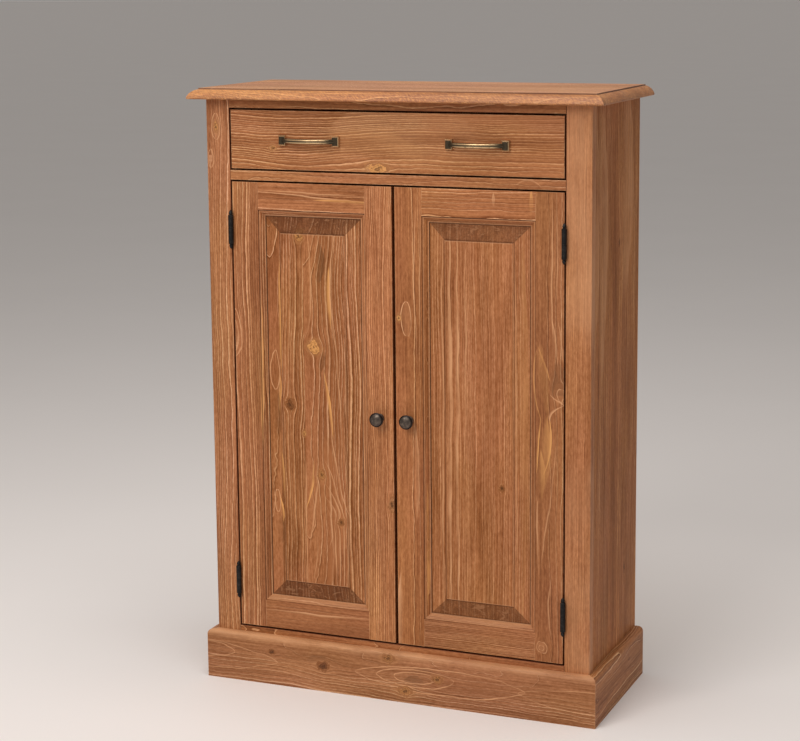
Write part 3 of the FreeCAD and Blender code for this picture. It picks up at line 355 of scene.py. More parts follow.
# Short slanted fibres where a moulding cuts through the grain
def makeFleckGroup(tones):
    tree, given, result = newCoat("slantFlecks", "Place Low High", "Inset")
    near = insideBox(tree, given)
    soft = calc(tree, "SUBTRACT", given["Inset"], 0.001)
    zone = smoothStep(tree, calc(tree, "MINIMUM", near[0], near[1]), given["Inset"], soft)
    x, y, z = split(tree, given["Place"])
    run = calc(tree, "ADD", x, y)
    slanted = addNode(tree, "CombineXYZ", {0: calc(tree, "ADD", run, z), 1: calc(tree, "SUBTRACT", run, z)})
    dash = noiseAt(tree, slanted.outputs[0], (420, 110, 0), 2, 0.6)
    colour = given["Colour"]
    for tone, low, high, share in (("gold", 0.50, 0.64, 0.50), ("deep", 0.50, 0.36, 0.40)):
        mask = product(tree, smoothStep(tree, dash, low, high), zone, share)
        colour = mixColour(tree, mask, colour, tones[tone])
    browner = vecCalc(tree, "MULTIPLY", colour, (0.89, 0.78, 0.55))
    tree.links.new(mixColour(tree, zone, colour, browner), result["Colour"])
    return tree


# A band at a set distance inside the walls of a box: painted shade in the gaps and quirks, and painted
# highlight lines
def makeBandGroup():
    tree, given, result = newCoat("shadeAndHighlightBand", "Place Low High", "Centre Half Share", "Colour Tone")
    x, y, z = insideBox(tree, given)
    nearest = calc(tree, "MINIMUM", calc(tree, "MINIMUM", x, y), z)
    ragged = noiseAt(tree, given["Place"], 140, 3, 0.6)
    depth = ramp(tree, ragged, 0.0008, calc(tree, "SUBTRACT", nearest, 0.0004))
    off = calc(tree, "SUBTRACT", apart(tree, depth, given["Centre"]), given["Half"])
    mask = product(tree, smoothStep(tree, off, 0.0004, -0.0003), given["Share"])
    tree.links.new(mixColour(tree, mask, given["Colour"], given["Tone"]), result["Colour"])
    return tree


# End grain drinks the stain: where a face cuts the fibres at a slant it turns dark and speckled
def makeEndGroup(finish, tones):
    tree, given, result = newCoat(finish + "Ends", "Place Face Grain", "Share")
    slant = calc(tree, "ABSOLUTE", vecValue(tree, "DOT_PRODUCT", given["Face"], given["Grain"]))
    end = smoothStep(tree, slant, 0.05, 0.12)
    speckle = noiseAt(tree, given["Place"], 330, 3, 0.7)
    blotch = noiseAt(tree, given["Place"], 60, 3)
    share = calc(tree, "ADD", smoothStep(tree, speckle, 0.62, 0.38), smoothStep(tree, blotch, 0.30, 0.65))
    share = product(tree, ramp(tree, share, 0.25, 0.48), given["Share"])
    colour = mixColour(tree, product(tree, end, share), given["Colour"], tones["end"])
    curl = calc(tree, "ABSOLUTE", swayAt(tree, given["Place"], (30, 30, 75), 1))
    curl = product(tree, smoothStep(tree, curl, 0.050, 0.015), smoothStep(tree, blotch, 0.50, 0.62), end)
    curl = product(tree, curl, product(tree, given["Share"], 0.26))
    tree.links.new(mixColour(tree, curl, colour, tones["line"]), result["Colour"])
    return tree


# Rubbed arrises with a painted highlight: light where two faces of the board's box meet
def makeWornSheenGroup(tones):
    tree, given, result = newCoat("wornSheenEdges", "Place Low High", "Width")
    x, y, z = insideBox(tree, given)
    second = calc(tree, "MAXIMUM", calc(tree, "MINIMUM", x, y),
                  calc(tree, "MINIMUM", calc(tree, "MAXIMUM", x, y), z))
    patchy = noiseAt(tree, given["Place"], 70, 3, 0.6)
    limit = product(tree, given["Width"], smoothStep(tree, patchy, 0.20, 0.70))
    rubbedAndLit = product(tree, smoothStep(tree, second, limit, 0.0), 0.6)
    tree.links.new(mixColour(tree, rubbedAndLit, given["Colour"], tones["wornSheen"]), result["Colour"])
    return tree


grainGroups = {finish: makeGrainGroup(finish, tones) for finish, tones in finishes.items()}
endGroups = {finish: makeEndGroup(finish, tones) for finish, tones in finishes.items()}
knotFaceGroups = {finish: makeKnotFaceGroup(finish, tones) for finish, tones in finishes.items()}
swellGroup = makeSwellGroup()
stripGroup = makeStripGroup()
knotGroup = makeKnotGroup()
streakGroup = makeStreakGroup()
loopGroup = makeLoopGroup()
fleckGroup = makeFleckGroup(stainTones)
bandGroup = makeBandGroup()
wornSheenGroup = makeWornSheenGroup(stainTones)

# How a board lies: the directions across it, through it and along its grain
boardTurns = {
    "upright": Matrix(((1, 0, 0), (0, 1, 0), (0, 0, 1))),
    "uprightSide": Matrix(((0, 1, 0), (-1, 0, 0), (0, 0, 1))),
    "across": Matrix(((0, 0, 1), (0, 1, 0), (-1, 0, 0))),
    "lying": Matrix(((0, 1, 0), (0, 0, 1), (1, 0, 0))),
    "deep": Matrix(((0, 0, 1), (1, 0, 0), (0, 1, 0))),
}


# The grain bent round the board's knots, and the knots' own faces
def bendRound(tree, board, whole, onBoard):
    place = whole
    knotFaces = []
    for spot, radius, stretch, dark in board.get("knots", ()):
        knot = {"Place": place, "Knot": onBoard(spot), "Radius": radius, "Stretch": stretch}
        bent = useGroup(tree, knotGroup, knot)
        place = bent["Place"]
        if dark is not None:
            knotFaces.append({"Place": whole, "Reach": bent["Reach"], "Dark": dark})
    return place, knotFaces


# Where the board was cut: the swells of its trunk, and the strips that it is glued from
def cutFrom(tree, board, place, whole, onBoard):
    for spot, shift, length in board.get("swells", ()):
        swell = {"Place": place, "Along": onBoard(spot).z, "Length": length, "Shift": (*shift, 0)}
        place = useGroup(tree, swellGroup, swell)["Place"]
    last = board["heart"]
    for edge, heart, slide in board.get("strips", ()):
        shift = (last[0] - heart[0], last[1] - heart[1], slide)
        strip = {"Place": place, "Whole": whole, "Edge": onBoard(edge).x, "Shift": shift}
        place = useGroup(tree, stripGroup, strip)["Place"]
        last = heart
    return place


# Streaks and loops of the grain
def grainMarks(board, place, whole, onBoard):
    marks = []
    for tone, spot, width, length, share, *curve in board.get("streaks", ()):
        lean, bow = curve or (0, 0)
        marks.append((streakGroup, {
            "Tone": stainTones[tone], "Place": place, "Middle": onBoard(spot), "Half": width / 2,
            "Length": length / 2, "Lean": lean, "Bow": bow, "Share": share,
        }))
    for tone, spot, half, length, point, share, fill in board.get("loops", ()):
        marks.append((loopGroup, {
            "Tone": stainTones[tone], "Place": whole, "Middle": onBoard(spot), "Half": half,
            "Length": length, "Point": point, "Share": share, "Fill": fill,
        }))
    return marks


# What the making left on the board, and painted light: slanted flecks, rubbed edges with a painted highlight,
# and bands of painted shade and highlight
def surfaceMarks(board, solid, low, high):
    marks = []
    for boxLow, boxHigh, depth in board.get("flecks", ()):
        marks.append((fleckGroup, {"Place": solid, "Low": boxLow, "High": boxHigh, "Inset": depth}))
    if "wornSheen" in board:
        marks.append((wornSheenGroup, {"Place": solid, "Low": low, "High": high, "Width": board["wornSheen"]}))
    for tone, boxLow, boxHigh, centre, half, share in board.get("bands", ()):
        marks.append((bandGroup, {
            "Tone": stainTones[tone], "Place": solid, "Low": boxLow, "High": boxHigh, "Centre": centre,
            "Half": half, "Share": share,
        }))
    return marks


def woodMaterial(name, board, low, high):
    material, tree, shader = newMaterial(name)
    finish = board.get("finish", "stained")
    turn = boardTurns[board["turn"]]
    middle = (low + high) / 2
    thin = [abs(step) for step in turn[1]].index(1)

    def onBoard(spot):  # the two numbers that its face shows, made a point of the turned board
        point = list(spot)
        point.insert(thin, middle[thin])
        return turn @ (Vector(point) - middle)

    coords = addNode(tree, "TexCoord").outputs
    solid, normal = coords["Object"], coords["Normal"]
    laid = {"Vector": solid, "Rotation": turn.to_euler(), "Location": -(turn @ middle)}
    whole = addNode(tree, "Mapping", laid).outputs[0]
    turned = {"Vector": normal, "Rotation": turn.to_euler()}
    face = addNode(tree, "Mapping", turned, vector_type="VECTOR").outputs[0]
    place, knotFaces = bendRound(tree, board, whole, onBoard)
    cut = cutFrom(tree, board, place, whole, onBoard)
    # light scales the board's colour: partly its own tone, partly painted light and shade for how much light
    # falls on the board
    seed, light = board["seed"], board.get("light", 1.0)
    grain = useGroup(tree, grainGroups[finish], {
        "Place": cut, "Face": face, "Seed": (seed, 0.37 * seed, 1.91 * seed), "Heart": (*board["heart"], 0),
        "Ring": board["ring"], "Wander": board["wander"], "Bold": board.get("bold", 1.0),
        "Light": light if isinstance(light, tuple) else (light,) * 3,
    })

    coats = grainMarks(board, place, whole, onBoard)  # what goes over the grain, in this order
    coats += [(knotFaceGroups[finish], knotFace) for knotFace in knotFaces]
    fibres = turn.transposed() @ Vector((0, 0, 1))
    ends = {"Place": solid, "Face": normal, "Grain": fibres, "Share": board.get("end", 1.0)}
    coats.append((endGroups[finish], ends))
    coats += surfaceMarks(board, solid, low, high)
    colour = grain["Colour"]
    for group, inputs in coats:
        colour = useGroup(tree, group, {"Colour": colour, **inputs})["Colour"]
    bump, depth = softwood["bump"], softwood["bumpDepth"]
    finishShader(tree, shader, colour, grain["Rough"], grain["Height"], bump, depth)
    shader.inputs["Specular IOR Level"].default_value = board.get("gloss", softwood["gloss"])
    return material


def stainBoard(name, board):
    dress(woodMaterial(name, board, *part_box(name)), name)


# Where the gaps and quirks run: the two openings of the front, the doors, and the door mouldings
def corners(xLow, xHigh, zLow, zHigh, yHigh=1):
    return Vector((xLow, -1, zLow)), Vector((xHigh, yHigh, zHigh))


def outline(*names):
    boxes = [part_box(name) for name in names]
    return corners(min(low.x for low, high in boxes), max(high.x for low, high in boxes),
                   min(low.z for low, high in boxes), max(high.z for low, high in boxes))


def inset(low, high, step, yHigh=1):
    return corners(low.x + step, high.x - step, low.z + step, high.z - step, yHigh)


doorFrame = {
    "parts": ("_hinge_stile", "_meeting_stile", "_top_rail", "_bottom_rail"),
    "groove": 0.0085, "moulding": 0.0125, "bevel": 0.0326,  # panel in its groove, moulding, panel's bevel
    # painted shade in the inner and the outer quirk and in the hollow between them: strongest on the top
    # rail, whose moulding faces down, and weakest on the bottom rail
    "top": (1.0, 1.0, 0.40), "side": (0.85, 0.40, 0.0), "bottom": (0.45, 0.15, 0.0),
}


def doorBands(door):
    low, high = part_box(door + "_panel")
    front = (low.y + high.y) / 2  # the mouldings are on the front half alone
    edge = outline(*[door + part for part in doorFrame["parts"]])
    seen = inset(low, high, doorFrame["groove"])
    flat = inset(*seen, -doorFrame["moulding"], front)
    field = inset(*seen, doorFrame["bevel"], front)
    foot = corners(-1, 1, seen[0].z, 2)  # the panel's lower edge alone
    rest = corners(seen[0].x, seen[1].x, -1, seen[1].z)  # its other three edges
    # The frame's bands: painted shade in the hollow, the quirks and the door gaps, and a painted highlight
    # line along the moulding
    frameBands = {}
    for part in ("top", "side", "bottom"):
        inner, outer, hollow = doorFrame[part]
        frameBands[part] = [
            ("deep", *flat, 0.0066, 0.0058, hollow), ("quirk", *seen, -0.0002, 0.0007, inner),
            ("quirk", *flat, 0.0005, 0.0009, outer), ("line", *flat, 0.0024, 0.0006, 0.40),
            ("gap", *edge, -0.02, 0.0200, 0.95),
        ]
    # The panel's bands: painted shade in the crease at its edge, weaker on the lower edge, a painted
    # highlight line just inside the field, and painted shade at the field's edge
    panelBands = [
        ("quirk", *rest, 0.0004, 0.0011, 0.90), ("quirk", *foot, 0.0004, 0.0011, 0.50),
        ("line", *field, 0.0024, 0.0006, 0.45), ("quirk", *field, 0.0, 0.0007, 0.60),
    ]
    return frameBands, panelBands


frontOpening = corners(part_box("front_stile_left")[1].x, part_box("front_stile_right")[0].x,
                       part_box("bottom_rail")[1].z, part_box("top_rail")[0].z)
betweenStiles = corners(frontOpening[0].x, frontOpening[1].x, -1, 2)
middleStrip = corners(-1, 1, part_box("middle_rail")[0].z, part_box("middle_rail")[1].z)
# Painted shade on the frame's faces at the front openings, where the gaps round the doors and the drawer are
# dark
openingBands = [("gap", *frontOpening, 0.05, 0.0508, 0.9)]
stileBands = [("gap", *betweenStiles, 0.05, 0.0507, 0.85)]

# The boards. A spot is the two numbers that show on a board's face: x and z, y and z, or x and y (top).
# knots: spot, radius, stretch along the grain, darkness (None: only the grain bends)
# streaks: tone, spot, width (below 0 turns it round), length, share, and lean and bow where it isn't straight
# loops: tone, spot, half width, half length, point, share, fill
# strips: edge, heart past it, slide along the grain; swells: spot, shift of the heart, length
# flecks: box, inset; bands: tone, box, distance inside its walls, half width, share
# light: a factor on the board's colour, partly its own tone and partly painted light and shade

# Top, with its moulding
topLow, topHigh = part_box("top_panel")
topPlan = Vector((topLow.x, topLow.y, -1)), Vector((topHigh.x, 1, 2))
topPanel = {
    "turn": "lying", "seed": 1.3, "heart": (0.28, -0.10), "ring": 0.0034, "wander": 0.08,
    # light: the top is lighter and greyer, a painted reflection of the pale surroundings
    "bold": 0.8, "light": (1.22, 1.35, 1.52), "end": 0.12, "wornSheen": 0.0016, "gloss": 0.70,
    "flecks": [(*topPlan, 0.0182)],
    "streaks": [
        ("deep", (0.280, -0.172), 0.030, 0.60, 0.55), ("line", (-0.330, -0.172), 0.040, 0.36, 0.40),
    ],
    # bands: painted shade in the quirk above the nose
    "bands": [("quirk", *topPlan, 0.0192, 0.0008, 0.65)],
}
stainBoard("top_panel", topPanel)

# Front frame
leftStile = {
    "turn": "upright", "seed": 2.1, "heart": (0.06, 0.05), "ring": 0.0042, "wander": 0.03,
    "light": (1.08, 1.14, 1.26), "wornSheen": 0.0008, "bands": stileBands,
    "knots": [((-0.388, 1.166), 0.005, 2.0, 0.1), ((-0.402, 1.102), 0.004, 2.4, None)],
    "loops": [
        ("line", (-0.388, 1.166), 0.009, 0.027, 0.5, 0.75, 0.06),
        ("line", (-0.402, 1.102), 0.006, 0.018, 0.5, 0.65, 0.04),
    ],
}
stainBoard("front_stile_left", leftStile)
rightStile = {
    "turn": "upright", "seed": 3.4, "heart": (-0.24, 0.10), "ring": 0.0030, "wander": 0.02,
    "bold": 0.30, "light": 1.06, "wornSheen": 0.0014, "bands": stileBands,
    "streaks": [
        ("line", (0.384, 1.080), 0.400, 0.70, 0.62),
        ("line", (0.384, 0.300), 0.300, 0.50, 0.40),
        ("deep", (0.384, 0.640), 0.300, 0.50, 0.15),
        ("deep", (0.392, 0.478), 0.030, 0.09, 0.25),
    ],
}
stainBoard("front_stile_right", rightStile)
topRail = {
    "turn": "across", "seed": 4.2, "heart": (0.02, 0.06), "ring": 0.0046, "wander": 0.03,
    "bold": 0.9, "light": 0.90, "wornSheen": 0.0014, "bands": openingBands,
}
stainBoard("top_rail", topRail)
middleRail = {
    "turn": "across", "seed": 5.6, "heart": (-0.02, 0.05), "ring": 0.0050, "wander": 0.03,
    # bands: painted shade along the rail's edges at the gaps
    "light": (1.08, 1.12, 1.22), "wornSheen": 0.0030, "bands": [("gap", *middleStrip, -0.02, 0.0201, 0.9)],
    "streaks": [
        ("line", (0.282, 1.0745), 0.005, 0.062, 0.9, 0.07, -14.8),
        ("deep", (0.282, 1.0680), 0.014, 0.070, 0.8, 0.07, -14.8),
    ],
}
stainBoard("middle_rail", middleRail)
bottomRail = {
    "turn": "across", "seed": 6.3, "heart": (0.01, 0.05), "ring": 0.0050, "wander": 0.05,
    "bold": 0.8, "wornSheen": 0.0016, "bands": openingBands,
}
stainBoard("bottom_rail", bottomRail)

# Sides
sideLeft = {
    "turn": "uprightSide", "seed": 7.7, "heart": (0.03, 0.12), "ring": 0.0048, "wander": 0.06,
    "bold": 0.8,
    "strips": [((0.060, 0), (0.10, 0.15), 1.7), ((-0.040, 0), (-0.16, 0.10), 0.9)],
}
stainBoard("side_panel_left", sideLeft)
sideRight = {
    "turn": "uprightSide", "seed": 8.2, "heart": (-0.04, 0.15), "ring": 0.0048, "wander": 0.06,
    "light": (1.08, 1.06, 0.96), "gloss": 0.10,
    "strips": [
        ((-0.105, 0), (0.06, 0.10), 0.8), ((-0.020, 0), (-0.10, 0.16), 1.9), ((0.062, 0), (0.20, 0.10), 0.5),
    ],
    "knots": [((0.037, 0.939), 0.004, 2.0, 0.8), ((0.092, 0.255), 0.005, 2.0, 0.8)],
    # The wide light streaks near the top of this side and the wide deep streaks lower down are painted light
    # and shade, lighter towards the top
    "streaks": [
        ("deep", (0.002, 0.560), 0.050, 1.30, 0.45), ("deep", (0.100, 0.400), 0.160, 1.00, 0.35),
        ("deep", (-0.060, 0.300), 0.200, 0.70, 0.20), ("pale", (0.072, 0.903), 0.008, 0.06, 0.7),
        ("line", (-0.080, 0.950), 0.080, 0.60, 0.45), ("line", (0.080, 1.050), 0.120, 0.50, 0.40),
        ("line", (-0.128, 0.980), 0.060, 0.60, 0.40),
    ],
}
stainBoard("side_panel_right", sideRight)

# Plinth
plinthFront = {
    "turn": "across", "seed": 9.1, "heart": (0.030, 0.060), "ring": 0.0042, "wander": 0.04,
    "bold": 0.62, "light": (1.03, 1.14, 1.33), "wornSheen": 0.0012,
    "loops": [
        ("line", (0.100, 0.053), 0.027, 0.186, 0.7, 0.85, 0.0),
        ("line", (0.047, 0.055), 0.018, 0.086, 0.6, 0.85, 0.0),
        ("line", (0.046, 0.056), 0.011, 0.044, 0.5, 0.80, 0.05),
        ("line", (-0.460, 0.062), 0.017, 0.096, 0.6, 0.60, 0.0),
        ("line", (-0.460, 0.050), 0.030, 0.198, 0.8, 0.55, 0.0),
        ("line", (0.420, 0.050), 0.022, 0.150, 0.8, 0.70, 0.0),
    ],
    "streaks": [
        # The long light streak along the rounded top edge is a painted highlight
        ("line", (0.0, 0.098), 0.030, 1.90, 0.85), ("deep", (0.250, 0.050), 0.120, 0.50, 0.20),
        ("smudge", (0.044, 0.046), 0.030, 0.05, 0.55), ("smudge", (0.062, 0.066), 0.020, 0.07, 0.40),
        ("smudge", (-0.170, 0.060), 0.024, 0.06, 0.45),
    ],
    "knots": [
        ((-0.277, 0.071), 0.005, 1.4, 0.9),
        ((-0.159, 0.055), 0.009, 1.4, 0.9),
        ((-0.013, 0.090), 0.008, 1.6, 0.4),
        ((0.024, 0.026), 0.009, 1.6, 0.3),
        ((0.094, 0.058), 0.007, 1.4, 0.3),
    ],
}
stainBoard("plinth_front", plinthFront)
plinthLeft = {
    "turn": "deep", "seed": 10.4, "heart": (0.0, -0.06), "ring": 0.0050, "wander": 0.05,
    "bold": 0.9, "light": (1.00, 1.06, 1.14), "wornSheen": 0.0012,
}
stainBoard("plinth_left", plinthLeft)
plinthRight = {
    "turn": "deep", "seed": 11.8, "heart": (0.01, -0.06), "ring": 0.0044, "wander": 0.05,
    "bold": 1.4, "light": (1.02, 1.06, 1.10), "wornSheen": 0.0012,
}
stainBoard("plinth_right", plinthRight)

# Drawer front
drawerFront = {
    "turn": "across", "seed": 12.5, "heart": (-0.085, 0.050), "ring": 0.0046, "wander": 0.060,
    "bold": 1.1, "light": 1.02, "wornSheen": 0.0026,
    "streaks": [
        ("line", (0.020, 1.142), 0.240, 0.36, 0.26), ("pale", (-0.060, 1.120), 0.100, 0.30, 0.25),
        ("body", (0.270, 1.142), 0.500, 0.46, 0.55),
    ],
    "knots": [
        ((-0.033, 1.090), 0.010, 2.2, 0.0),
        ((-0.260, 1.126), 0.005, 1.6, 0.2),
    ],
    # bands: painted shade along the drawer front's edges in its gap
    "bands": [("gap", *outline("drawer_front"), -0.02, 0.0200, 0.9)],
}
stainBoard("drawer_front", drawerFront)

# Left door
leftFrameBands, leftPanelBands = doorBands("left_door")
leftHingeStile = {
    "turn": "upright", "seed": 13.3, "heart": (0.14, 0.04), "ring": 0.0052, "wander": 0.04,
    "bold": 1.2, "light": 0.98, "wornSheen": 0.0018, "bands": leftFrameBands["side"],
    "knots": [((-0.356, 0.742), 0.012, 2.6, None)],
    "loops": [
        ("line", (-0.357, 0.742), 0.017, 0.050, 0.5, 0.80, 0.0),
        ("line", (-0.357, 0.738), 0.011, 0.034, 0.5, 0.70, 0.10),
        ("deep", (-0.356, 0.736), 0.006, 0.020, 0.5, 0.60, 0.15),
    ],
    "streaks": [("gold", (-0.298, 0.660), 0.009, 0.34, 0.8)],
}
stainBoard("left_door_hinge_stile", leftHingeStile)
leftMeetingStile = {
    "turn": "upright", "seed": 14.9, "heart": (-0.22, 0.04), "ring": 0.0036, "wander": 0.03,
    "bold": 0.8, "light": 1.14, "wornSheen": 0.0018, "bands": leftFrameBands["side"],
    "knots": [((-0.007, 0.409), 0.007, 1.8, 0.5)],
}
stainBoard("left_door_meeting_stile", leftMeetingStile)
leftTopRail = {
    "turn": "across", "seed": 15.2, "heart": (0.20, 0.05), "ring": 0.0140, "wander": 0.03,
    "light": (1.12, 1.14, 1.21), "wornSheen": 0.0016, "bands": leftFrameBands["top"],
    "streaks": [
        ("gold", (-0.100, 1.022), 0.007, 0.16, 0.9, 0.04, 0.0),
        ("line", (-0.190, 1.030), 0.004, 0.28, 0.9, 0.06, 0.0),
        ("line", (-0.170, 1.036), 0.004, 0.30, 0.7, 0.03, 0.0),
    ],
}
stainBoard("left_door_top_rail", leftTopRail)
leftBottomRail = {
    "turn": "across", "seed": 16.6, "heart": (-0.16, 0.06), "ring": 0.0140, "wander": 0.03,
    "bold": 0.7, "light": 0.89, "wornSheen": 0.0016, "bands": leftFrameBands["bottom"],
    "streaks": [
        ("line", (-0.170, 0.157), 0.006, 0.30, 0.9, -0.02, 0.1),
        ("line", (-0.180, 0.184), 0.016, 0.40, 0.5),
    ],
}
stainBoard("left_door_bottom_rail", leftBottomRail)
leftPanel = {
    "turn": "upright", "seed": 17.4, "heart": (-0.095, 0.022), "ring": 0.0062, "wander": 0.05,
    "bold": 1.15, "light": (1.0, 1.02, 1.10), "gloss": 0.12, "end": 0.9, "bands": leftPanelBands,
    "strips": [
        ((-0.258, 0), (-0.260, 0.03), 1.3),
        ((-0.200, 0), (-0.020, 0.030), 2.9),
        ((-0.111, 0), (-0.160, 0.03), 0.7),
    ],
    "swells": [((0, -0.700), (0, 0.045), 1.0), ((0, 0.850), (0, 0.008), 0.090)],
    "knots": [
        ((-0.1775, 0.722), 0.013, 1.0, 0.0),
        ((-0.165, 0.457), 0.007, 1.4, 0.3),
        ((-0.233, 0.599), 0.010, 1.1, 0.8),
        ((-0.208, 0.949), 0.009, 1.3, 0.2),
        ((-0.123, 0.360), 0.006, 1.2, 0.6),
        ((-0.275, 0.410), 0.008, 3.0, None),
        ((-0.204, 0.541), 0.004, 1.6, 0.1),
    ],
    "loops": [
        ("line", (-0.269, 0.392), 0.007, 0.026, 0.5, 0.9, 0.0),
        ("line", (-0.268, 0.668), 0.010, 0.044, 0.7, 0.8, 0.0),
    ],
    "streaks": [
        ("deep", (-0.156, 0.600), 0.080, 1.10, 0.40),
        ("body", (-0.160, 0.370), 0.090, 0.36, 0.65),
        ("gold", (-0.147, 0.825), 0.012, 0.14, 0.90, 0.0, 0.9),
        ("line", (-0.143, 0.830), 0.005, 0.30, 0.90, 0.0, 0.8),
        ("line", (-0.127, 0.640), 0.004, 0.22, 0.80, -0.06, 0.0),
        ("line", (-0.184, 0.850), 0.004, 0.26, 0.80, 0.0, -1.0),
        ("gold", (-0.149, 0.605), 0.009, 0.15, 0.90, -0.14, 0.0),
        ("line", (-0.133, 0.463), 0.005, 0.22, 0.90, -0.19, 0.8),
        ("line", (-0.136, 0.424), 0.005, 0.14, 0.90, -0.34, -0.8),
        ("line", (-0.134, 0.396), 0.005, 0.09, 0.90, -0.40, -5.8),
        ("line", (-0.139, 0.384), 0.005, 0.06, 0.90, -0.44, -14.0),
        ("line", (-0.144, 0.348), 0.004, 0.10, 0.85, -0.06, -5.3),
        ("line", (-0.138, 0.293), 0.004, 0.15, 0.80),
        ("line", (-0.129, 0.293), 0.004, 0.15, 0.80),
        ("line", (-0.120, 0.294), 0.004, 0.15, 0.80),
        ("line", (-0.111, 0.295), 0.004, 0.15, 0.80),
        ("gold", (-0.187, 0.434), 0.007, 0.11, 0.90, 0.18, -1.4),
        ("line", (-0.182, 0.385), 0.005, 0.20, 0.90, 0.13, -0.5),
        ("line", (-0.202, 0.360), 0.004, 0.30, 0.80, 0.02, 0.0),
        ("line", (-0.181, 0.284), 0.004, 0.12, 0.80, 0.11, 0.0),
        ("gold", (-0.253, 0.449), 0.007, 0.11, 0.90, -0.04, 0.0),
        ("gold", (-0.257, 0.378), 0.007, 0.07, 0.95, -0.20, -5.6),
        ("gold", (-0.253, 0.780), 0.007, 0.26, 0.7),
        ("gold", (-0.256, 0.620), 0.008, 0.09, 0.9),
        ("smudge", (-0.166, 0.895), 0.030, 0.09, 0.6),
        ("smudge", (-0.166, 0.693), 0.016, 0.05, 0.6),
        ("smudge", (-0.262, 0.575), 0.028, 0.10, 0.6),
        ("smudge", (-0.262, 0.330), 0.024, 0.07, 0.5),
    ],
}
stainBoard("left_door_panel", leftPanel)

# Right door
rightFrameBands, rightPanelBands = doorBands("right_door")
rightMeetingStile = {
    "turn": "upright", "seed": 18.1, "heart": (-0.023, 0.030), "ring": 0.0072, "wander": 0.015,
    "bold": 1.15, "light": 1.10, "wornSheen": 0.0018, "bands": rightFrameBands["side"],
    "knots": [((0.011, 0.794), 0.005, 1.3, 0.0)],
    "loops": [("line", (0.027, 0.794), 0.010, 0.031, 0.5, 1.0, 0.10)],
    "streaks": [
        ("line", (0.043, 0.860), 0.004, 0.36, 0.8, 0.0, 0.25),
        ("line", (0.056, 0.880), 0.003, 0.36, 0.7, 0.02, 0.0),
        ("line", (0.009, 0.180), -0.014, 0.20, 1.0),
        ("line", (0.046, 0.480), 0.014, 0.22, 0.6),
        ("gold", (0.066, 0.330), 0.009, 0.28, 0.8),
    ],
}
stainBoard("right_door_meeting_stile", rightMeetingStile)
rightHingeStile = {
    "turn": "upright", "seed": 19.7, "heart": (-0.018, 0.028), "ring": 0.0085, "wander": 0.03,
    "bold": 1.1, "light": 0.90, "wornSheen": 0.0018, "bands": rightFrameBands["side"],
    "knots": [
        ((0.347, 0.670), 0.010, 1.5, None),
        ((0.311, 0.148), 0.009, 1.1, None),
    ],
    "loops": [
        ("line", (0.353, 0.662), 0.012, 0.014, 0.5, 0.70, 0.05),
        ("line", (0.311, 0.148), 0.011, 0.012, 0.5, 0.65, 0.08),
        ("line", (0.311, 0.147), 0.005, 0.006, 0.5, 0.50, 0.10),
    ],
    "streaks": [
        ("gold", (0.310, 0.500), 0.016, 0.110, 0.45), ("gold", (0.308, 0.735), 0.012, 0.050, 0.45),
        ("gold", (0.312, 0.690), 0.030, 0.150, 0.30, -0.15, 0.0),
        ("gold", (0.318, 0.545), 0.026, 0.160, 0.40, 0.04, 0.0),
        ("smudge", (0.341, 0.690), 0.044, 0.080, 0.40), ("smudge", (0.336, 0.684), 0.024, 0.060, 0.40),
        ("gold", (0.316, 0.720), 0.006, 0.074, 0.9, -0.43, 0.0),
        ("gold", (0.295, 0.677), 0.005, 0.155, 0.8, -0.08, 1.9),
        ("gold", (0.305, 0.560), 0.005, 0.130, 0.8, 0.06, 0.0),
        ("gold", (0.329, 0.560), 0.006, 0.130, 0.9, 0.09, -2.7),
        ("line", (0.343, 0.650), 0.006, 0.026, 0.9, -1.10, 0.0),
        ("line", (0.331, 0.625), 0.008, 0.038, 0.9, 0.85, 39.0),
        ("line", (0.336, 0.768), 0.005, 0.110, 0.8, -0.135, 0.0),
        ("line", (0.348, 0.765), 0.004, 0.090, 0.8, -0.140, 0.0),
        ("line", (0.324, 0.430), 0.004, 0.29, 0.9, 0.13, 0.0),
        ("line", (0.302, 0.380), 0.004, 0.17, 0.8, -0.02, 0.0),
        ("line", (0.323, 0.235), 0.004, 0.17, 0.8, 0.0, 1.5),
        ("line", (0.330, 0.890), 0.004, 0.34, 0.8, 0.0, 0.1),
        ("line", (0.341, 0.940), 0.003, 0.22, 0.7),
    ],
}
stainBoard("right_door_hinge_stile", rightHingeStile)
rightTopRail = {
    "turn": "across", "seed": 20.3, "heart": (-0.04, 0.06), "ring": 0.0046, "wander": 0.03,
    "bold": 1.4, "light": 1.10, "wornSheen": 0.0016, "bands": rightFrameBands["top"],
    "streaks": [
        ("line", (0.211, 1.036), 0.034, 0.007, 0.7),
        ("gold", (0.288, 1.028), 0.060, 0.009, 0.6),
    ],
}
stainBoard("right_door_top_rail", rightTopRail)
rightBottomRail = {
    "turn": "across", "seed": 21.9, "heart": (0.22, 0.06), "ring": 0.0030, "wander": 0.02,
    "bold": 0.65, "light": 0.93, "wornSheen": 0.0016, "bands": rightFrameBands["bottom"],
    "streaks": [("line", (0.180, 0.184), 0.016, 0.40, 0.5)],
}
stainBoard("right_door_bottom_rail", rightBottomRail)
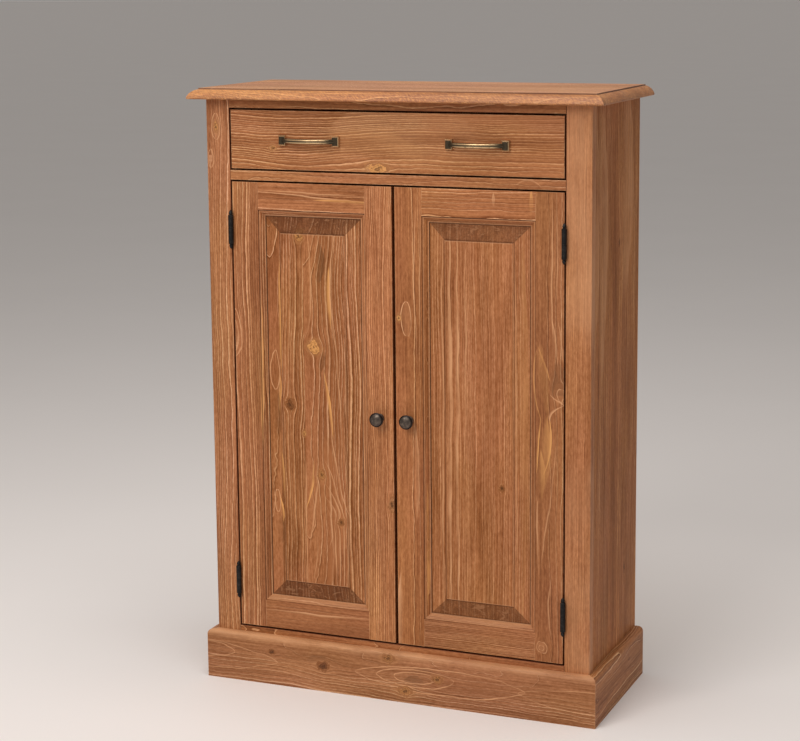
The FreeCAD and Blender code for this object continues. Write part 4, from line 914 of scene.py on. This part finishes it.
rightPanel = {
    "turn": "upright", "seed": 22.5, "heart": (0.30, 0.06), "ring": 0.0048, "wander": 0.02,
    "bold": 0.42, "light": (1.06, 1.09, 1.17), "gloss": 0.12, "end": 0.8, "bands": rightPanelBands,
    "knots": [((0.227, 0.464), 0.005, 1.3, 0.7)],
    "streaks": [
        ("line", (0.101, 0.560), 0.0060, 0.95, 0.7),
        ("deep", (0.107, 0.560), 0.0080, 0.95, 0.7),
        ("line", (0.117, 0.600), 0.0120, 0.90, 0.9),
        ("line", (0.133, 0.560), 0.0090, 0.95, 0.9),
        ("line", (0.150, 0.720), 0.0050, 0.50, 0.6),
        ("pale", (0.268, 0.590), 0.0260, 0.90, 0.4),
        ("line", (0.255, 0.590), 0.0050, 0.90, 0.6),
    ],
}
stainBoard("right_door_panel", rightPanel)
print("stained boards done")

# Plain wood inside and behind
innerWood = {
    "upright": ["back_board_1", "back_board_2", "back_board_3", "back_board_4", "back_board_5"],
    "across": ["plinth_back", "drawer_back", "drawer_stops"],
    "lying": ["floor_panel", "divider_panel", "shelf_upper", "shelf_lower"],
    "deep": ["drawer_side_left", "drawer_side_right", "drawer_guides", "drawer_kickers"],
    "ring": 0.0045, "wander": 0.05, "heart": (0.03, 0.09), "heartStep": 0.04, "seed": 30, "seedStep": 1.7,
}
backKnots = {"side": 0.03, "low": 0.30, "lowStep": 0.13, "high": 1.05, "highStep": -0.09}
for turn in ("upright", "across", "lying", "deep"):
    for count, name in enumerate(innerWood[turn]):
        heartX, heartY = innerWood["heart"]
        plank = {
            "turn": turn, "finish": "raw", "ring": innerWood["ring"], "wander": innerWood["wander"],
            "heart": (heartX - innerWood["heartStep"] * (count % 3), heartY * (-1) ** count),
            "seed": innerWood["seed"] + innerWood["seedStep"] * count + len(name),
        }
        if turn == "upright":
            low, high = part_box(name)
            side = backKnots["side"] * (-1) ** count
            lowKnot = ((low.x + high.x) / 2 + side, backKnots["low"] + backKnots["lowStep"] * count)
            highKnot = ((low.x + high.x) / 2 - side, backKnots["high"] + backKnots["highStep"] * count)
            plank["knots"] = [(lowKnot, 0.010, 1.2, 0.4), (highKnot, 0.007, 1.3, 0.9)]
        stainBoard(name, plank)
glueBlocks = {
    "turn": "upright", "finish": "raw", "seed": 41.0, "heart": (0.02, 0.05), "ring": 0.004, "wander": 0.02,
}
stainBoard("plinth_blocks", glueBlocks)
drawerBottom = {
    "turn": "lying", "finish": "raw", "seed": 52.0, "heart": (0.05, 0.30), "ring": 0.006, "wander": 0.08,
}
stainBoard("drawer_bottom", drawerBottom)
print("inner wood done")


# Metals: a dark patina that is rubbed through. wornAt keeps the rubbing to some places, rimAt darkens a rim.
def metalMaterial(name, metal, wornAt=None, rimAt=None):
    material, tree, shader = newMaterial(name)
    place = addNode(tree, "TexCoord").outputs["Object"]
    broad = noiseAt(tree, place, metal["patch"], 4, 0.6)
    fine = noiseAt(tree, place, metal["speck"], 3, 0.7)
    rub = smoothStep(tree, ramp(tree, fine, metal["grit"], broad), *metal["rub"])
    if wornAt:
        rub = product(tree, wornAt(tree, place, metal), rub)
    colour = mixColour(tree, rub, metal["patina"], metal["bare"])
    if rimAt:
        colour = mixColour(tree, rimAt(tree, place, metal, broad), colour, metal["rim"])
    dull, bright = metal["shine"]
    finishShader(tree, shader, colour, ramp(tree, rub, bright - dull, dull), fine, 0.35, metal["pit"])
    shader.inputs["Metallic"].default_value = metal["metallic"]
    return material


# The handles: bright along the rubbed ridges and rims, dark in the groove and in the middle of the rosettes;
# the bow darkens towards its ends, a painted shade where it bends back into the rosettes
antiqueBrass = {
    "patina": (0.060, 0.046, 0.028, 1), "bare": (0.700, 0.480, 0.260, 1), "rub": (0.35, 0.75),
    "shine": (0.50, 0.30), "patch": 130, "speck": 900, "grit": 0.4, "pit": 0.0002, "metallic": 0.85,
    "middle": 1.142, "offset": 0.179, "spacing": 0.117,  # where the handles and their ends are
    "groove": 0.0016, "ridge": 0.0040, "bowShadeFade": (0.052, 0.034), "rosette": (0.0075, 0.0105),
}


def fromHandle(tree, place, metal):  # along the handle and up, from its middle
    spot = split(tree, place)
    along = apart(tree, calc(tree, "ABSOLUTE", spot[0]), metal["offset"])
    return along, apart(tree, spot[2], metal["middle"])


# The bow darkens towards its ends: a painted shade where it bends back into the rosettes
def bowWearAndShade(tree, place, metal):
    along, rise = fromHandle(tree, place, metal)
    groove = smoothStep(tree, rise, metal["groove"] * 0.5, metal["groove"] * 1.3)
    ridge = smoothStep(tree, rise, metal["ridge"] * 1.08, metal["ridge"] * 0.85)
    return product(tree, groove, ridge, smoothStep(tree, along, *metal["bowShadeFade"]))


def rosetteWear(tree, place, metal):
    along, rise = fromHandle(tree, place, metal)
    wide = calc(tree, "DIVIDE", apart(tree, along, metal["spacing"] / 2), metal["rosette"][0])
    tall = calc(tree, "DIVIDE", rise, metal["rosette"][1])
    return smoothStep(tree, calc(tree, "MAXIMUM", wide, tall), 0.70, 0.86)


dress(metalMaterial("bowBrass", antiqueBrass, wornAt=bowWearAndShade), "handle_left", "handle_right")
dress(metalMaterial("rosetteBrass", antiqueBrass, wornAt=rosetteWear), "handle_rosettes")

# The hinges
blackIron = {
    "patina": (0.006, 0.0055, 0.0055, 1), "bare": (0.045, 0.038, 0.034, 1), "rub": (0.62, 1.05),
    "shine": (0.60, 0.40), "patch": 130, "speck": 1400, "grit": 0.35, "pit": 0.00025, "metallic": 0.5,
}
dress(metalMaterial("blackIron", blackIron), "hinge_bases", "left_door_hinge_caps", "right_door_hinge_caps")

# The knobs: a rubbed face inside a dark rim
knobBronze = {
    "rim": (0.020, 0.016, 0.015, 1), "patina": (0.075, 0.058, 0.049, 1), "bare": (0.190, 0.148, 0.115, 1),
    "rub": (0.55, 1.0), "shine": (0.42, 0.30), "patch": 150, "speck": 1100, "grit": 0.35, "pit": 0.0002,
    "metallic": 0.8, "offset": 0.032, "height": 0.587, "radius": 0.0145,
}


def knobRim(tree, place, metal, broad):
    spot = split(tree, place)
    side = calc(tree, "SUBTRACT", calc(tree, "ABSOLUTE", spot[0]), metal["offset"])
    rise = calc(tree, "SUBTRACT", spot[2], metal["height"])
    reach = calc(tree, "SQRT", calc(tree, "ADD", product(tree, side, side), product(tree, rise, rise)))
    reach = calc(tree, "DIVIDE", reach, metal["radius"])
    return smoothStep(tree, ramp(tree, broad, 0.10, reach), 0.78, 0.92)


dress(metalMaterial("knobBronze", knobBronze, rimAt=knobRim), "left_door_knob", "right_door_knob")

# Screws, pins and plates
zincSteel = {
    "patina": (0.300, 0.295, 0.280, 1), "bare": (0.560, 0.550, 0.520, 1), "rub": (0.45, 0.95),
    "shine": (0.45, 0.28), "patch": 200, "speck": 1800, "grit": 0.35, "pit": 0.0001, "metallic": 1.0,
}
dress(
    metalMaterial("zincSteel", zincSteel), "back_screws", "shelf_pins", "handle_screws", "hinge_pins",
    "hinge_base_screws", "left_door_hinge_screws", "right_door_hinge_screws", "left_door_strike_plate",
    "right_door_strike_plate",
)

# The catches are brown plastic, dulled in the same way
catchPlastic = {
    "patina": (0.100, 0.052, 0.028, 1), "bare": (0.140, 0.078, 0.044, 1), "rub": (0.40, 0.90),
    "shine": (0.50, 0.40), "patch": 60, "speck": 1500, "grit": 0.35, "pit": 0.0001, "metallic": 0.0,
}
dress(metalMaterial("catchPlastic", catchPlastic), "magnet_catches")
print("metal and plastic done")

# Floor
floorPlate = {
    "half": 120.0, "rough": 0.7, "patch": 1.5,
    "tone": (0.88, 0.845, 0.835, 1), "cloud": (0.85, 0.815, 0.805, 1),
}
mesh = bpy.data.meshes.new("floor")
shape = bmesh.new()
bmesh.ops.create_grid(shape, x_segments=1, y_segments=1, size=floorPlate["half"])
shape.to_mesh(mesh)
shape.free()
floor = bpy.data.objects.new("floor", mesh)
bpy.context.scene.collection.objects.link(floor)
material, tree, shader = newMaterial("floorPaint")
cloud = noiseAt(tree, addNode(tree, "TexCoord").outputs["Object"], floorPlate["patch"], 3)
tree.links.new(mixColour(tree, cloud, floorPlate["tone"], floorPlate["cloud"]), shader.inputs["Base Color"])
shader.inputs["Roughness"].default_value = floorPlate["rough"]
mesh.materials.append(material)

# Soft light: a large softbox high in front on the left, one overhead, and pale surroundings
studio = {
    "sky": (1.0, 0.955, 0.905, 1), "skyStrength": 0.34,
    "key": {
        "place": (-0.8, -3.4, 3.2), "aim": (0.0, -0.1, 0.65),
        "size": 2.2, "power": 83.0, "tone": (1.0, 0.95, 0.90),
    },
    "overhead": {
        "place": (0.2, -0.7, 4.2), "aim": (0.1, 0.0, 0.0),
        "size": 2.4, "power": 75.5, "tone": (1.0, 0.96, 0.92),
    },
}
world = bpy.data.worlds.new("studio")
world.use_nodes = True
world.node_tree.nodes["Background"].inputs["Color"].default_value = studio["sky"]
world.node_tree.nodes["Background"].inputs["Strength"].default_value = studio["skyStrength"]
bpy.context.scene.world = world
for name in ("key", "overhead"):
    softbox = studio[name]
    lamp = bpy.data.lights.new(name, "AREA")
    lamp.size = softbox["size"]
    lamp.energy = softbox["power"]
    lamp.color = softbox["tone"]
    holder = bpy.data.objects.new(name, lamp)
    holder.location = softbox["place"]
    aim = Vector(softbox["aim"]) - Vector(softbox["place"])
    holder.rotation_euler = aim.to_track_quat("-Z", "Y").to_euler()
    bpy.context.scene.collection.objects.link(holder)
bpy.context.scene.view_settings.view_transform = "Standard"

# Camera at the photograph's angle
view = {
    "place": (1.511608, -3.752835, 1.464653), "yaw": 0.39381, "pitch": -0.1611, "roll": -0.00939,
    "quarterTurn": 1.5707963, "lens": 89.603, "sensor": 36.0, "shift": -0.0881, "reach": 400.0,
}
lens = bpy.data.cameras.new("camera")
lens.lens = view["lens"]
lens.sensor_width = view["sensor"]
lens.shift_y = view["shift"]
lens.clip_end = view["reach"]
camera = bpy.data.objects.new("camera", lens)
level = Matrix.Rotation(view["yaw"], 4, "Z") @ Matrix.Rotation(view["quarterTurn"] + view["pitch"], 4, "X")
camera.matrix_world = Matrix.Translation(view["place"]) @ level @ Matrix.Rotation(view["roll"], 4, "Z")
bpy.context.scene.collection.objects.link(camera)
bpy.context.scene.camera = camera
print("light and camera done")
